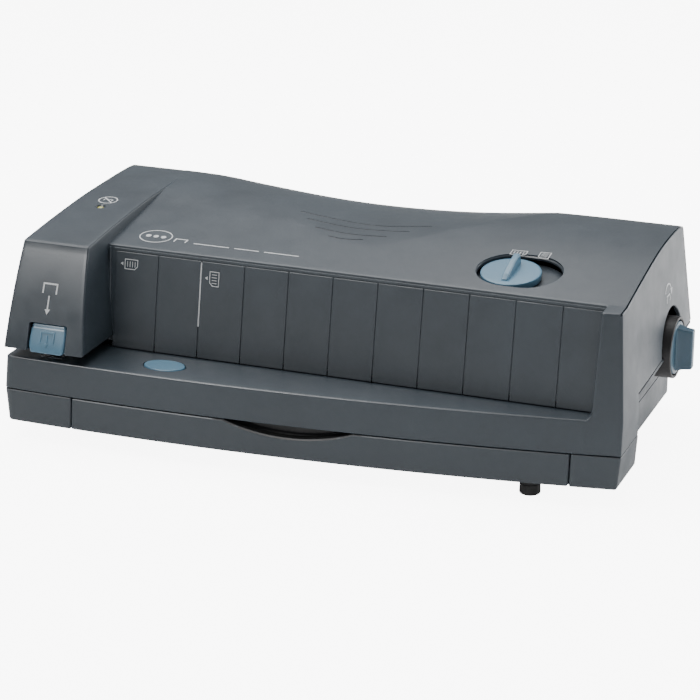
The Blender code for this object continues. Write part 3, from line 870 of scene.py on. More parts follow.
def tower_profile():
    front = [(tower_front(z), z) for z in steps(64.6, 131.5, 18)]
    lip = [(-85.3, 132.2), (-84.7, 132.75), (-83.8, 133.1)]
    crown = [(y, along(TOWER_YS, TOWER_ZS, y)) for y in steps(-81, 88, 44)]
    rear = [(90.5, 139.1), (92.4, 137.9), (93.6, 135.8)]
    rear += [(blend(93.6, COVER_REAR, t), blend(135.8, 66.9, t)) for t in steps(0, 1, 8)[1:]]
    return front + lip + crown + rear + [(-56, 61.2), (-56, 64.6)]


def tower_shell():
    edge = round_over(1.4, 5)
    columns = [(LEFT + d, inset) for d, inset in edge[::-1]] + [(x, 0.0)
                                                                for x in steps(LEFT + 4, TOWER_RIGHT - 4, 12)]
    columns += [(TOWER_RIGHT - d, inset) for d, inset in edge]
    rings = []
    profile = anticlockwise(tower_profile())
    for x, inset in columns:
        t = (x - LEFT) / (TOWER_RIGHT - LEFT)
        ring = []
        for y, z in shrunk(profile, inset):
            lean = blend(LEFT_DRAFT * (z - PARTING_Z), -TOWER_DRAFT * (z - DECK_Z), t)
            ring.append((x + lean, y, z))
        rings.append(ring)
    return loft("tower", rings)


def cheek_shell():
    """Right-hand end: the skirt rises into the cheek and sweeps into the throat wall."""
    rings = []
    levels = [(t, 0.0) for t in steps(0, 0.225, 5)] + [(t, 0.0) for t in steps(0.25, 0.975, 24)]
    levels += [(1 - d / 92.0, inset) for d, inset in round_over(0.9)]
    for t, inset in levels:
        z = blend(PARTING_Z + 0.4, 125.6, t)
        foot = FRONT_PARTING + 3.0 * (z - PARTING_Z) / 21.1 - 0.03
        climb = smooth(DECK_Z - 2, 300, z) if z < DECK_Z else 0.0
        rise = max(0.0, z - 55.6)
        right = RIGHT + 0.015 + (0.3 * (DECK_Z - z) / 22.5 if z < DECK_Z else -RIGHT_DRAFT * (z - DECK_Z))
        flare = 0.0
        if z < 62:
            flare = 5 - math.sqrt(max(0.0, 25 - min(5.0, 62 - z) ** 2))
        left = CHEEK_LEFT + 0.026 * (z - DECK_Z) - flare

        def edge(x):
            return front_y(x, min(foot, FRONT_DECK - 0.03)) + rise * 0.15 + climb
        wall = blend(WALL_FOOT_Y, WALL_TOP_Y, (z - SLOT_Z) / (WALL_TOP_Z - SLOT_Z))
        sweep = 0.9 if z > 58 else 0.5
        front = [(left, edge(left), 1.5)]
        front += [(x, edge(x), 0) for x in steps(left + 3, right - 3, 5)] + [(right, edge(right), 1.3)]
        corners = front + [(right, BLOCK_REAR_Y, 0), (left - sweep, BLOCK_REAR_Y, 0)]
        outline = filleted(corners, 4)
        concave = [(left - sweep + sweep * (1 - math.cos(a)), wall + 0.4 - sweep * math.sin(a))
                   for a in (math.pi / 2 * k / 6 for k in range(7))]
        outline += [(x, y) for x, y in concave]
        ring = []
        for x, y in shrunk(outline, inset):
            roof = 126.7 + 0.02 * (y + 70.6)
            height = z if t < 0.3 else blend(z, z - 125.6 + roof, smooth(0.3, 1.0, t))
            ring.append((x, y, height))
        rings.append(ring)
    return loft("cheek", rings)


def deck_shell():
    rings = []
    rows = [(PARTING_Z, FRONT_PARTING, -222.3, 0.35), (PARTING_Z + 0.4, FRONT_PARTING, -222.3, 0.0)]
    for t in steps(0.0, 1.0, 6)[1:]:
        rows.append((blend(PARTING_Z, 55.6, t), blend(FRONT_PARTING, FRONT_DECK, t),
                     blend(-222.3, -221.9, t), 0.0))
    for d, inset in round_over(1.4, 5)[1:]:
        rows.append((DECK_Z - d, FRONT_DECK, -221.9, inset))
    for z, edge, left, inset in rows:
        ring = bowed_round(left, 190.0, edge, BLOCK_REAR_Y, 3.5, 2.0, 44)
        rings.append([(x, y, z) for x, y in shrunk(anticlockwise(ring), inset)])
    return loft("deck", rings)


def swept(name, route, radius, sides=8):
    """Round bar along points, standing a little out of the surface it cuts."""
    rings = []
    for i, point in enumerate(route):
        ahead = Vector(route[min(i + 1, len(route) - 1)]) - Vector(route[max(i - 1, 0)])
        ahead.normalize()
        out = ahead.cross(Vector((0, 0, 1))).normalized()
        up = out.cross(ahead)
        rings.append([tuple(Vector(point) + radius * (a * out + b * up)) for a, b in circle(1.0, sides)])
    return loft(name, rings)


FINGER_LINES = (((-62, 34), (-30, 29.6), (0, 27.6), (35, 35)),
                ((-52, 22), (-28, 18.4), (-4, 17.6), (24, 20.6)),
                ((-41, 8.6), (-22, 5.8), (-6, 5.4), (11.5, 7.6)),
                ((-27, -3), (-19, -4.6), (-10, -4.4), (-2, -2)))


def arc_route(points, count=22):
    """Smooth line over the top through four points in plan."""
    xs = [p[0] for p in points]
    route = []
    for x in steps(xs[0], xs[-1], count):
        y = along(xs, [p[1] for p in points], x)
        route.append((x, y, top_z(x, y) + 0.05))
    return route


def flared(name, outline_at, z0, z1, lip):
    """Upright cutter whose mouth opens into a chamfer."""
    rings = [(z0, 0.0), (z1 - lip, 0.0), (z1, lip), (z1 + 12, lip)]
    return loft(name, [[(x, y, z) for x, y in outline_at(grow_by)] for z, grow_by in rings])


def housing_cutters():
    yield merged("finger_lines",
                 [swept("line_%d" % i, arc_route(line), 0.75) for i, line in enumerate(FINGER_LINES)])
    seam_profile = [(y, top_z(199, y) - 2.3) for y in steps(-54, 88, 40)]
    seam_profile = [(-74, 125.6), (-69.4, 125.1), (-66, 124.7)] + seam_profile
    seam_profile += [(91, 135.6), (92.6, 132.0), (105.3, 64.0), (140, 64.0), (140, 170), (-74, 170)]
    yield loft("seam",
               [[(x - RIGHT_DRAFT * (z - DECK_Z), y, z) for y, z in seam_profile] for x in (202.5, 203.5)])
    inner = []
    for x in steps(-178, RIGHT - SHELL, 30):
        ring = [(WALL_FOOT_Y + SHELL, 50), (WALL_FOOT_Y + SHELL, SLOT_Z),
                (WALL_TOP_Y + SHELL, WALL_TOP_Z - SHELL)]
        ring += [(y + SHELL, top_z(x, y) - SHELL) for y in steps(-54, 86, 20)]
        ring += [(COVER_REAR - SHELL - 12.5, min(133.4, top_z(x, 89) - SHELL - 1.4)),
                 (COVER_REAR - SHELL, 67.0), (COVER_REAR - SHELL, 50)]
        inner.append([(x - side_shift(x, z), y, z) for y, z in ring])
    yield loft("hollow_main", inner)
    room = [(-109.5, 68.5), (-82.4, 129), (-79.4, 130.6), (-45, 133.8), (2, 136.8), (35, 137.6), (66, 137.6),
            (83, 136.9), (90, 135.0), (103.2, 66.9), (103.2, 50), (-60, 50), (-60, 68.5)]
    tower = []
    for x, t in ((LEFT + SHELL, 0), (TOWER_RIGHT - SHELL, 1)):
        tower.append([(x + blend(LEFT_DRAFT * (z - PARTING_Z), -TOWER_DRAFT * (z - DECK_Z), t), y, z) for y,
                      z in room])
    yield loft("hollow_tower", tower)
    hollow = [(-76.0, 30), (-67.4, 119.5), (-52.5, 119.5), (-40.8, 60), (-40.8, 30)]
    yield loft("hollow_cheek",
               [[(x - (RIGHT_DRAFT * max(0, z - DECK_Z) if x > 195 else 0), y, z) for y, z in hollow]
                                for x in (187.6, RIGHT - SHELL - 0.4)])
    yield prism("hollow_deck", bowed(-219.5, 188.0, FRONT_PARTING + 5.4, -20), 20, DECK_Z - SHELL)
    yield block("rail_bay", (-166.3, -64.4, 40), (182.0, -20, SLOT_Z - 0.3))


def housing_openings():
    low, high = span("staple_tab")
    tab = [(low.x - 1.1, 60), (high.x + 1.1, 60), (high.x + 1.1, high.z - 0.6), (low.x - 1.1, high.z - 0.6)]
    outline = filleted([(x, z, 1.6 if z > 61 else 0) for x, z in tab])
    rings = [[(x, y, z) for x, z in outline] for y in (-130, -101.8)]
    yield loft("tab_opening", rings)
    yield block("staple_exit", (-199, -104.5, 60), (-180, -86, 75))
    lean = Matrix.Rotation(-math.atan(RIGHT_DRAFT), 4, "Y")
    notch = turned("notch", (RIGHT, KNOB.y, KNOB.z), "X",
                   ((-24, 28.2), (-1.2, 28.2), (0.2, 29.2), (12, 29.2)), 96)
    pivot = at(RIGHT, KNOB.y, KNOB.z)
    turn_about(notch, pivot, lean)
    yield notch
    dish = flared("dish", lambda d: stadium(110.5, 120.8, DISC.y, 23.6 + d), 110, 131.2, 0.7)
    yield tilted(dish)
    yield turned("lens_hole", (LENS.x, LENS.y, 0), "Z",
                 ((120, 3.0), (137.5, 3.0), (139.6, 4.2), (150, 4.4)), 40)
    yield flared("button_hole",
                 lambda d: [(BUTTON.x + a, BUTTON.y + b) for a, b in circle(15.2 + d, 72, 0.68)],
                 40, DECK_Z + 0.01, 0.5)
    yield block("clinch_pocket", (-198.2, -103.2, 55.4), (-181.8, -84.8, 70))


class PUNCH_OT_housing(bpy.types.Operator):
    """Upper housing: main block, stapler tower, right-hand cheek and paper deck"""
    bl_idname = "punch.housing"
    bl_label = "Upper Housing"

    def execute(self, context):
        shell = main_shell()
        cutters = housing_cutters()
        cut(shell, next(cutters))
        join(shell, tower_shell(), cheek_shell(), deck_shell())
        for tool in cutters:
            cut(shell, tool)
        for tool in housing_openings():
            cut(shell, tool)
        settle(shell, look("housing"), "base", ("upper_cover", "bed_deck"))
        return {"FINISHED"}


def wall_y(z):
    return blend(WALL_FOOT_Y, WALL_TOP_Y, (z - SLOT_Z) / (WALL_TOP_Z - SLOT_Z))


class PUNCH_OT_wall_panels(bpy.types.Operator):
    """Row of shallow raised panels on the throat wall, and the bead beside the tower"""
    bl_idname = "punch.wall_panels"
    bl_label = "Throat Wall Panels"

    def execute(self, context):
        sizes = context.scene.punch_sizes
        pitch, groove = sizes.panel_pitch * 1000, sizes.groove * 1000
        first, low, high, proud = GUIDE_X, SLOT_Z - 4.0, 123.2, PANEL_PROUD
        face = rectangle(first + groove, low, first + pitch, high, 0.3, 3)
        rings = []
        for lift, inset in ((-0.3, 0.0), (proud - 0.3, 0.0), (proud - 0.1, 0.08), (proud, 0.3)):
            rings.append([(x, wall_y(z) - lift, z) for x, z in shrunk(anticlockwise(face), inset)])
        panels = loft("wall_panels", rings)
        grow(panels, row_tree(), {"Count": sizes.panel_count, "Step": (sizes.panel_pitch, 0, 0),
                                  "Material": look("panels")})
        settle(panels, look("panels"), "base", slot="upper_cover", angle=18)
        band = [(-162.6, 123.8), (184.2, 123.8), (184.2, 125.4), (-162.6, 125.4)]
        rings = []
        for lift, inset in ((-0.3, 0.0), (0.35, 0.0), (0.55, 0.2)):
            rings.append([(x, wall_y(z) - lift, z) for x, z in shrunk(band, inset)])
        settle(loft("wall_lip", rings), look("panels"), "base", slot="upper_cover")
        bead = [(-162.9 - 0.045 * (z - SLOT_Z), wall_y(z) - 0.5, z)
                for z in steps(SLOT_Z + 0.5, WALL_TOP_Z - 0.2, 30)]
        rings = [[(x + a, y + b, z) for a, b in circle(1.0, 16)] for x, y, z in bead]
        settle(loft("wall_bead", rings), look("housing"), "base", slot="upper_cover")
        return {"FINISHED"}


# ---------------------------------------------------------------- lower case
def case_block(name, low_x0, low_x1, x0, x1, left, right):
    """Solid end of the front block, leaning out towards the parting line."""
    rings = []
    for z, t, inset in ((BASE_Z, 0, 1.2), (BASE_Z + 0.4, 0.02, 0.45), (BASE_Z + 1.2, 0.05, 0.0),
                        (24.0, 0.53, 0.0), (PARTING_Z - 1.1, 0.96, 0.0), (PARTING_Z - 0.75, 1.0, 0.3)):
        ring = bowed_round(blend(low_x0, x0, t), blend(low_x1, x1, t), blend(FRONT_BOTTOM, FRONT_PARTING, t),
                           BLOCK_REAR_Y + 1, left, right, 10)
        rings.append([(x, y, z) for x, y in shrunk(anticlockwise(ring), inset)])
    return loft(name, rings)


class PUNCH_OT_lower_case(bpy.types.Operator):
    """Lower case with its solid front ends, and the rim that closes the housing"""
    bl_idname = "punch.lower_case"
    bl_label = "Lower Case"

    def execute(self, context):
        low, high = span("lower_body")
        left, right, rear = -208.0, 190.0, high.y
        plan = filleted([(left, BLOCK_REAR_Y, 0), (right, BLOCK_REAR_Y, 0), (right, rear, 5),
                         (left, rear, 5)], 8)
        rings = []
        rows = [(BASE_Z + d, inset) for d, inset in round_over(1.5)[::-1]]
        rows += [(z, 0.0) for z in steps(16, 55, 6)]
        for z, inset in rows:
            rings.append([(x, y, z) for x, y in shrunk(plan, inset)])
        rings.append([(x, y, blend(57.9, 64.1, (y - BLOCK_REAR_Y) / (rear - BLOCK_REAR_Y))) for x, y in plan])
        case = loft("lower_case", rings)
        floor = prism("floor", bowed(-218.0, 202.0, FRONT_BOTTOM + 4.8, BLOCK_REAR_Y + 1.5), BASE_Z + 0.05,
                      14.4)
        join(case, floor, case_block("left_end", -219.0, -170.9, -222.2, -170.9, 3.5, 1.5),
             case_block("right_end", 172.1, 202.8, 172.1, 204.3, 1.5, 1.6))
        join_line = prism("belt", rectangle(left - 2, BLOCK_REAR_Y + 3, right + 2, rear + 2),
                          PARTING_Z - 0.4, PARTING_Z + 0.4)
        core = prism("core", shrunk(plan, 0.8), 20, 50)
        cut(join_line, core)
        cut(case, join_line)
        cut(case, block("room", (left + 2.6, BLOCK_REAR_Y + 2.6, 14.4), (right - 2.6, rear - 2.6, 90)))
        cut(case, block("front_opening", (-203, -45, 50), (185.6, -30, 90)))
        cut(case, turned("shaft_hole", (0, KNOB.y, KNOB.z), "X", ((180, SHAFT_HOLE), (200, SHAFT_HOLE)), 32))
        inlet_low, inlet_high = span("mains_inlet")
        cut(case, block("inlet_hole", (inlet_low.x - 0.3, 95, inlet_low.z - 0.3),
                        (inlet_high.x + 0.3, 120, inlet_high.z + 0.3)))
        settle(case, look("base"), "base", ("lower_body",))

        low, high = span("ledge")
        profile = [(-37.6, 58.2), (rear + 0.6, 64.4), (rear + 0.6, 66.6), (-37.6, 60.8)]
        rim = stacked("ledge_rim", profile, edge_rows(low.x, high.x, 0.8, 0.8), "X")
        cut(rim, block("rim_room", (left + 2.6, -60, 40), (183.4, rear - 2.6, 90)))
        cut(rim, turned("bezel_room", (0, KNOB.y, KNOB.z), "X", ((190, 21.9), (220, 21.9)), 80))
        cut(rim, turned("shaft_room", (0, KNOB.y, KNOB.z), "X", ((186.2, SHAFT_HOLE), (200, SHAFT_HOLE)), 32))
        settle(rim, look("base"), "base", ("ledge",))
        return {"FINISHED"}


def grip_arc(extra=0.0, count=40):
    """Lower edge of the finger grip: a shallow arc with its ends at the tray's top."""
    radius = 136.0 - extra
    arc = []
    for a in steps(-20.6, 20.6, count):
        arc.append((-15 + radius * math.sin(math.radians(a)), 162 - radius * math.cos(math.radians(a))))
    return arc


class PUNCH_OT_chip_tray(bpy.types.Operator):
    """Chip tray with its bowed front and finger grip"""
    bl_idname = "punch.chip_tray"
    bl_label = "Chip Tray"

    def execute(self, context):
        low, high = span("chip_tray")
        edge = FRONT_BOTTOM
        rings = []
        rows = ((low.z, 0, 1.0), (low.z + 0.35, 0.02, 0.35), (low.z + 1.0, 0.05, 0.0), (24, 0.53, 0.0),
                (33.0, 0.95, 0.0), (33.55, 0.99, 0.25), (33.8, 1.0, 0.7))
        for z, t, inset in rows:
            face = blend(edge, FRONT_PARTING, t)
            xs = steps(low.x + 0.7, high.x - 0.7, 40)
            front = [(low.x, front_y(low.x, face) + 0.7)] + [(x, front_y(x, face)) for x in xs]
            front += [(high.x, front_y(high.x, face) + 0.7)]
            back = [(x, front_y(x, edge) + 4.2) for x, _ in reversed(front)]
            rings.append([(x, y, z) for x, y in shrunk(anticlockwise(front + back), inset)])
        tray = loft("tray", rings)
        box_front = edge + 2.4
        join(tray, prism("tray_box", bowed(-166.0, 167.2, box_front, -41.0), 14.8, 33.0),
             loft("grip_block",
                  [[(x, y, z) for x, y in self.strip(-66, 36, box_front, 13.0)] for z in (14.9, 33.7)]))
        cut(tray, prism("tray_room", bowed(-164.0, 165.2, box_front + 14.6, -43.0), 16.8, 40))
        cut(tray, prism("tray_left", bowed(-164.0, -68.0, box_front + 2.6, -60.0, 8), 16.8, 40))
        cut(tray, prism("tray_right", bowed(38.0, 165.2, box_front + 2.6, -60.0, 8), 16.8, 40))
        rings = []
        for depth, lip in ((-8, 0.9), (1.9, 0.9), (3.0, 0.0), (9.0, 0.0), (11.0, 1.4)):
            arc = grip_arc(-lip if lip < 1 else 1.4)
            outline = arc + [(arc[-1][0] + 1, 50), (arc[0][0] - 1, 50)]
            rings.append([(x, front_y(x, edge) + depth, z) for x, z in outline])
        cut(tray, loft("grip", rings))
        settle(tray, look("base"), "chip_tray", ("chip_tray",), angle=14)
        # Faces inside the finger grip take the darker plastic: painted shade in the recess.
        tray.data.materials.append(look("dark"))
        for face in tray.data.polygons:
            x, y = face.center.x * 1000 - CENTRE_X, face.center.y * 1000 - CENTRE_Y
            if -66 < x < 36 and face.center.z > 0.0215 and 2.4 < y - front_y(x, edge) < 11.2:
                face.material_index = 1
        return {"FINISHED"}

    @staticmethod
    def strip(x0, x1, edge, depth):
        xs = steps(x0, x1, 12)
        front = [(x, front_y(x, edge)) for x in xs]
        return front + [(x, front_y(x, edge) + depth) for x in reversed(xs)]


class PUNCH_OT_feet_and_screws(bpy.types.Operator):
    """Rubber feet, and the cross-head screws that hold the case together from below"""
    bl_idname = "punch.feet_and_screws"
    bl_label = "Feet and Screws"

    def execute(self, context):
        names = ["foot_front_left", "foot_front_right", "foot_rear_left", "foot_rear_right"]
        low, high = span(names[0])
        radius, top = (high.x - low.x) / 2, high.z
        profile = [(0.0, radius - 2.6), (0.0, radius - 2.0), (0.15, radius - 1.2), (0.6, radius - 0.4),
                   (1.3, radius - 0.02), (top * 0.62, radius - 0.25), (top * 0.66, radius - 0.7),
                   (top * 0.74, radius - 0.7), (top * 0.78, radius - 0.02), (top, radius - 0.02)]
        for name in names:
            spot = middle(name)
            foot = turned(name + "_rubber", (spot.x, spot.y, 0), "Z", profile, 48)
            cut(foot, turned("dimple", (spot.x, spot.y, 0), "Z", ((-1, 2.6), (0.9, 2.2)), 32))
            settle(foot, look("rubber"), "base", (name,))
        screws = ["bottom_screw_%d" % n for n in (1, 2, 3, 4)]
        low, high = span(screws[0])
        head = turned("screw_head", (-CENTRE_X, -CENTRE_Y, 0), "Z",
                      ((low.z, 2.2), (low.z + 0.15, 2.9), (low.z + 0.6, 3.5), (high.z, 3.6)), 32)
        for turn in (0, 90):
            slot = loft("slot",
                        [[(x, y, z) for x, y in ((-1.9, -0.35), (1.9, -0.35), (1.9, 0.35), (-1.9, 0.35))]
                                 for z in (low.z - 1, low.z + 0.9)], placed=False)
            slot.data.transform(Matrix.Rotation(math.radians(turn), 4, "Z") @ Matrix.Scale(0.001, 4))
            cut(head, slot)
        spots = [middle(name) for name in screws]
        group = mesh_object("case_screws", [(p.x, p.y, 0) for p in spots], [])
        grow(group, scatter_tree(), {"Part": head, "Turn": (0.0, 0.0, 0.6), "Material": look("zinc")})
        bpy.data.objects.remove(head)
        settle(group, look("zinc"), "base", screws)
        return {"FINISHED"}


# ---------------------------------------------------------------- controls
class PUNCH_OT_bed_button(bpy.types.Operator):
    """Oval push button let into the deck"""
    bl_idname = "punch.bed_button"
    bl_label = "Deck Button"

    def execute(self, context):
        low, high = span("bed_button")
        radius = (high.x - low.x) / 2 - 0.15
        rows = [(low.z, 0.0), (high.z - 1.4, 0.0), (high.z - 0.75, 0.1), (high.z - 0.3, 0.4),
                (high.z - 0.08, 0.9),
                (high.z - 0.02, 1.6), (high.z - 0.20, 2.4), (high.z - 0.48, 4.4), (high.z - 0.56, 6.4)]
        rings = [[(BUTTON.x + a, BUTTON.y + b, z) for a, b in shrunk(circle(radius, 96, 0.68), inset)]
                 for z, inset in rows]
        settle(loft("button", rings), look("blue"), "bed_button", ("bed_button",))
        return {"FINISHED"}


class PUNCH_OT_selector(bpy.types.Operator):
    """Paper-format selector: recessed track, sliding disc and its finger fin"""
    bl_idname = "punch.selector"
    bl_label = "Format Selector"

    def execute(self, context):
        x, y = SELECTOR_X, SELECTOR_Y
        plate = rounded_prism("selector_track", stadium(110.5, 119.5, y, 26.3), 123.7, 125.3, 0, 0.3)
        settle(tilted(plate), look("panels"), "base", ("selector_plate",))
        disc = turned("disc", (x, y, 0), "Z", ((125.8, 19.2), (126.2, 20.1), (128.6, 20.35), (130.1, 20.35),
                                               (130.6, 20.15), (130.85, 19.8), (130.95, 19.3),
                                               (131.0, 18.2)), 128)
        profile = [(-15.5, 129.6, 0), (-14.6, 132.0, 1.0), (-11.0, 134.3, 3.0), (4.0, 137.2, 8.0),
                   (14.4, 137.75, 1.6), (16.0, 129.6, 0)]
        outline = filleted(profile, 6)
        fin = loft("fin", [[(c, y + a, z) for a, z in shrunk(anticlockwise(outline), inset)]
                           for c, inset in edge_rows(x - 2.2, x + 2.2, 0.8, 0.8)])
        join(disc, fin)
        disc.name = "selector_disc"
        settle(tilted(disc), look("blue"), "mode_selector", ("mode_selector",))
        return {"FINISHED"}


class PUNCH_OT_side_knob(bpy.types.Operator):
    """Turn knob on the right-hand side: bezel with the shaft's bore, flange and paddle"""
    bl_idname = "punch.side_knob"
    bl_label = "Side Knob"

    def execute(self, context):
        y, z = KNOB.y, KNOB.z
        rim = turned("bezel", (0, y, z), "X", ((190.2, 20.9), (190.6, 21.4), (206.3, 21.4), (206.9, 21.1),
                                               (207.1, 20.6)), 96)
        cut(rim,
            turned("pocket", (0, y, z), "X", ((196, 19.3), (206.6, 19.3), (207.2, 19.9), (220, 19.9)), 96))
        cut(rim, turned("bore", (0, y, z), "X", ((180, SHAFT_HOLE), (200, SHAFT_HOLE)), 32))
        settle(rim, look("black"), "base", ("knob_bezel",))
        grip = turned("flange", (0, y, z), "X", ((197, 17.6), (197.4, 18.3), (206.2, 18.3), (206.9, 18.0),
                                                 (207.2, 17.2)), 96)
        rings = []
        for x, half_y, half_z, corner in ((206.2, 6.4, 16.0, 1.2), (207.1, 5.6, 15.5, 1.2),
                                          (208.0, 5.1, 15.2, 1.2),
                                          (209.4, 4.8, 15.0, 1.2), (212, 4.3, 14.3, 1.2),
                                          (216.6, 3.6, 13.95, 1.2),
                                          (217.4, 3.45, 13.8, 1.1), (217.85, 3.05, 13.4, 0.9),
                                          (218.0, 2.4, 12.8, 0.6)):
            plan = rectangle(-half_y, -half_z, half_y, half_z, corner)
            rings.append([(x, y + a, z + b) for a, b in plan])
        join(grip, loft("paddle", rings))
        grip.name = "turn_knob"
        settle(grip, look("knob"), "side_knob", ("side_knob",))
        return {"FINISHED"}


def bracket_outline(half, depth, thick):
    """Staple seen from the front: a bar with two legs."""
    return [(-half, 0), (half, 0), (half, -depth), (half - thick, -depth), (half - thick, -thick),
            (thick - half, -thick), (thick - half, -depth), (-half, -depth)]


def arrow_outline(length, head, shaft):
    return [(-shaft, 0), (shaft, 0), (shaft, head - length), (head * 0.55, head - length), (0, -length),
            (-head * 0.55, head - length), (-shaft, head - length)]


class PUNCH_OT_staple_drawer(bpy.types.Operator):
    """Staple drawer: blue tab, strip of staples and the pusher's spring"""
    bl_idname = "punch.staple_drawer"
    bl_label = "Staple Drawer"

    def execute(self, context):
        low, high = span("staple_tab")
        centre = -189.0
        heights, fronts, halves = (65.2, 70.0, 78.0, 83.6), (-112.9, -111.4, -108.0, -105.4), (11.9, 13.2,
                                                                                               13.2, 12.4)
        rings = []
        rows = [(low.z + d, inset) for d, inset in round_over(0.7)[::-1]]
        rows += [(z, 0.0) for z in steps(67, 80.6, 10)] + [(80.9, 0.0), (81.2, 0.25), (81.6, 0.25),
                                                           (81.9, 0.0)]
        rows += [(high.z - d, inset) for d, inset in round_over(0.7)]
        for z, inset in rows:
            y, half = along(heights, fronts, z), along(heights, halves, z) - 0.05
            plan = filleted([(centre - half, y - 0.35, 1.6), (centre + half, y - 0.35, 1.6),
                             (centre + half, -104.2, 0), (centre - half, -104.2, 0)], 6)
            rings.append([(a, b, z) for a, b in shrunk(plan, inset)])
        tab = loft("drawer_tab", rings)
        raised = []
        for drawing, top in ((bracket_outline(5.4, 7.4, 1.1), 79.6), (arrow_outline(7.6, 2.6, 0.5), 77.0)):
            rows = []
            for lift, inset in ((-0.4, 0.0), (0.50, 0.0), (0.66, 0.14)):
                rows.append([(centre + a, along(heights, fronts, top + b) - 0.35 - lift, top + b)
                             for a, b in shrunk(anticlockwise(drawing), inset)])
            raised.append(loft("symbol", rows))
        join(tab, *raised)
        tab.data.transform(Matrix.Translation((0, -0.0007, -0.0016)))
        settle(tab, look("blue"), "staple_drawer", ("staple_tab",))

        low, high = span("staple_strip")
        wire = 0.46
        profile = bracket_outline((high.x - low.x) / 2, high.z - low.z, wire)
        staple = loft("staples", [[(middle("staple_strip").x + a, low.y + y, high.z + b) for a, b in profile]
                                  for y in (0.0, wire)])
        count = int((high.y - low.y) / 0.52)
        grow(staple, row_tree(), {"Count": count, "Step": (0, 0.00052, 0), "Material": look("staple")})
        settle(staple, look("staple"), "staple_drawer", ("staple_strip",))

        low, high = span("pusher_spring")
        pusher = coil("pusher_coil", ((low.x + high.x) / 2, low.y + 0.4, (low.z + high.z) / 2), 2.4,
                      high.y - low.y - 0.8, 7.0, 0.8, look("spring"), Euler((-math.pi / 2, 0, 0)))
        settle(pusher, look("spring"), "staple_drawer", ("pusher_spring",), angle=60)
        return {"FINISHED"}


class PUNCH_OT_small_fittings(bpy.types.Operator):
    """Status lens, clinching plate and mains inlet"""
    bl_idname = "punch.small_fittings"
    bl_label = "Small Fittings"

    def execute(self, context):
        low, high = span("status_lens")
        dome = [(low.z, 2.7), (high.z - 1.9, 2.75)]
        dome += [(high.z - 1.9 + 1.9 * math.sin(a), 2.75 * math.cos(a)) for a in steps(0.2, 1.5, 8)]
        settle(turned("lens", (LENS.x, LENS.y, 0), "Z", dome, 40), look("lens"), "base", ("status_lens",))

        low, high = span("clincher_plate")
        plan = rectangle(low.x, low.y, high.x, high.y, 1.0)
        plate = rounded_prism("anvil", plan, low.z, high.z, 0, 0.25)
        for x in (-194.5, -187.5):
            rings = []
            for z, grow_by in ((high.z - 0.9, 0.0), (high.z + 0.1, 0.45), (high.z + 2, 0.45)):
                groove = rectangle(x - 0.6 - grow_by, -92.2 - grow_by, x + 2.6 + grow_by, -89.8 + grow_by,
                                   0.3)
                rings.append([(a, b, z) for a, b in groove])
            cut(plate, loft("groove", rings))
        settle(plate, look("steel"), "base", ("clincher_plate",))

        low, high = span("mains_inlet")
        corners = [(low.x, low.z, 1.5), (high.x, low.z, 1.5), (high.x, high.z, 5.0), (low.x, high.z, 5.0)]
        face = filleted(corners, 6)
        inlet = stacked("inlet", face, ((low.y, 0), (high.y - 0.4, 0), (high.y, 0.4)), "Y")
        socket = filleted([(low.x + 3, low.z + 3, 1.0), (high.x - 3, low.z + 3, 1.0),
                           (high.x - 3, high.z - 3, 4.0),
                           (low.x + 3, high.z - 3, 4.0)], 6)
        mouth = ((98.4, 0), (high.y - 0.5, 0), (high.y + 0.1, -0.5), (120, -0.5))
        cut(inlet, stacked("socket", socket, mouth, "Y"))
        settle(inlet, look("black"), "base", ("mains_inlet",))
        pins = []
        for x in (-154, -146):
            pin = block("pin", (x - 1.2, 98.5, 36), (x + 1.2, high.y - 1.0, 40))
            pins.append(bevelled(pin, 0.5))
        settle(merged("inlet_pins", pins), look("brass"), "base", slot="mains_inlet")
        return {"FINISHED"}


# ---------------------------------------------------------------- printed symbols
PRINT_LIFT = 0.13


def on_wall(x, z, lift):
    return (x, wall_y(z) - PANEL_PROUD - lift, z)


def on_tower_front(x, z, lift):
    return (x, tower_front(z) - lift, z)


def on_tower_top(x, y, lift):
    return (x, y, along(TOWER_YS, TOWER_ZS, y) + lift)


def on_top(x, y, lift):
    return (x, y, top_z(x, y) + lift)


def on_right_wall(y, z, lift):
    return (RIGHT - RIGHT_DRAFT * (z - DECK_Z) + lift, y, z)


def line(points, width, surface, closed=False):
    """Printed line through 2-D points, laid on a surface."""
    dense = []
    pairs = list(zip(points, points[1:] + points[:1])) if closed else list(zip(points, points[1:]))
    for (a, b), (c, d) in pairs:
        pieces = max(1, int(math.hypot(c - a, d - b) / 2.5))
        dense += [(blend(a, c, k / pieces), blend(b, d, k / pieces)) for k in range(pieces)]
    if not closed:
        dense.append(points[-1])
    rings = []
    count = len(dense)
    for i, here in enumerate(dense):
        before = Vector(dense[i - 1]) if closed or i else Vector(here) * 2 - Vector(dense[1])
        after = Vector(dense[(i + 1) % count]) if closed or i < count - 1 else Vector(here) * 2 - Vector(dense[-2])
        first, second = (Vector(here) - before).normalized(), (after - Vector(here)).normalized()
        side = Vector((-first.y - second.y, first.x + second.x)).normalized()
        reach = width / 2 / max(0.5, side.dot(Vector((-first.y, first.x))))
        left, right = Vector(here) + side * reach, Vector(here) - side * reach
        rings.append([surface(*left, -0.06), surface(*right, -0.06), surface(*right, PRINT_LIFT),
                      surface(*left, PRINT_LIFT)])
    if closed:
        rings.append(rings[0])
        return wrapped("line", rings)
    return loft("line", rings)


def wrapped(name, rings):
    """Closed loop of sections without end caps."""
    count, total = len(rings[0]), len(rings) - 1
    points = [p for ring in rings[:-1] for p in ring]
    faces = []
    for k in range(total):
        after = (k + 1) % total
        for i in range(count):
            j = (i + 1) % count
            faces.append((k * count + i, k * count + j, after * count + j, after * count + i))
    return mesh_object(name, points, faces)


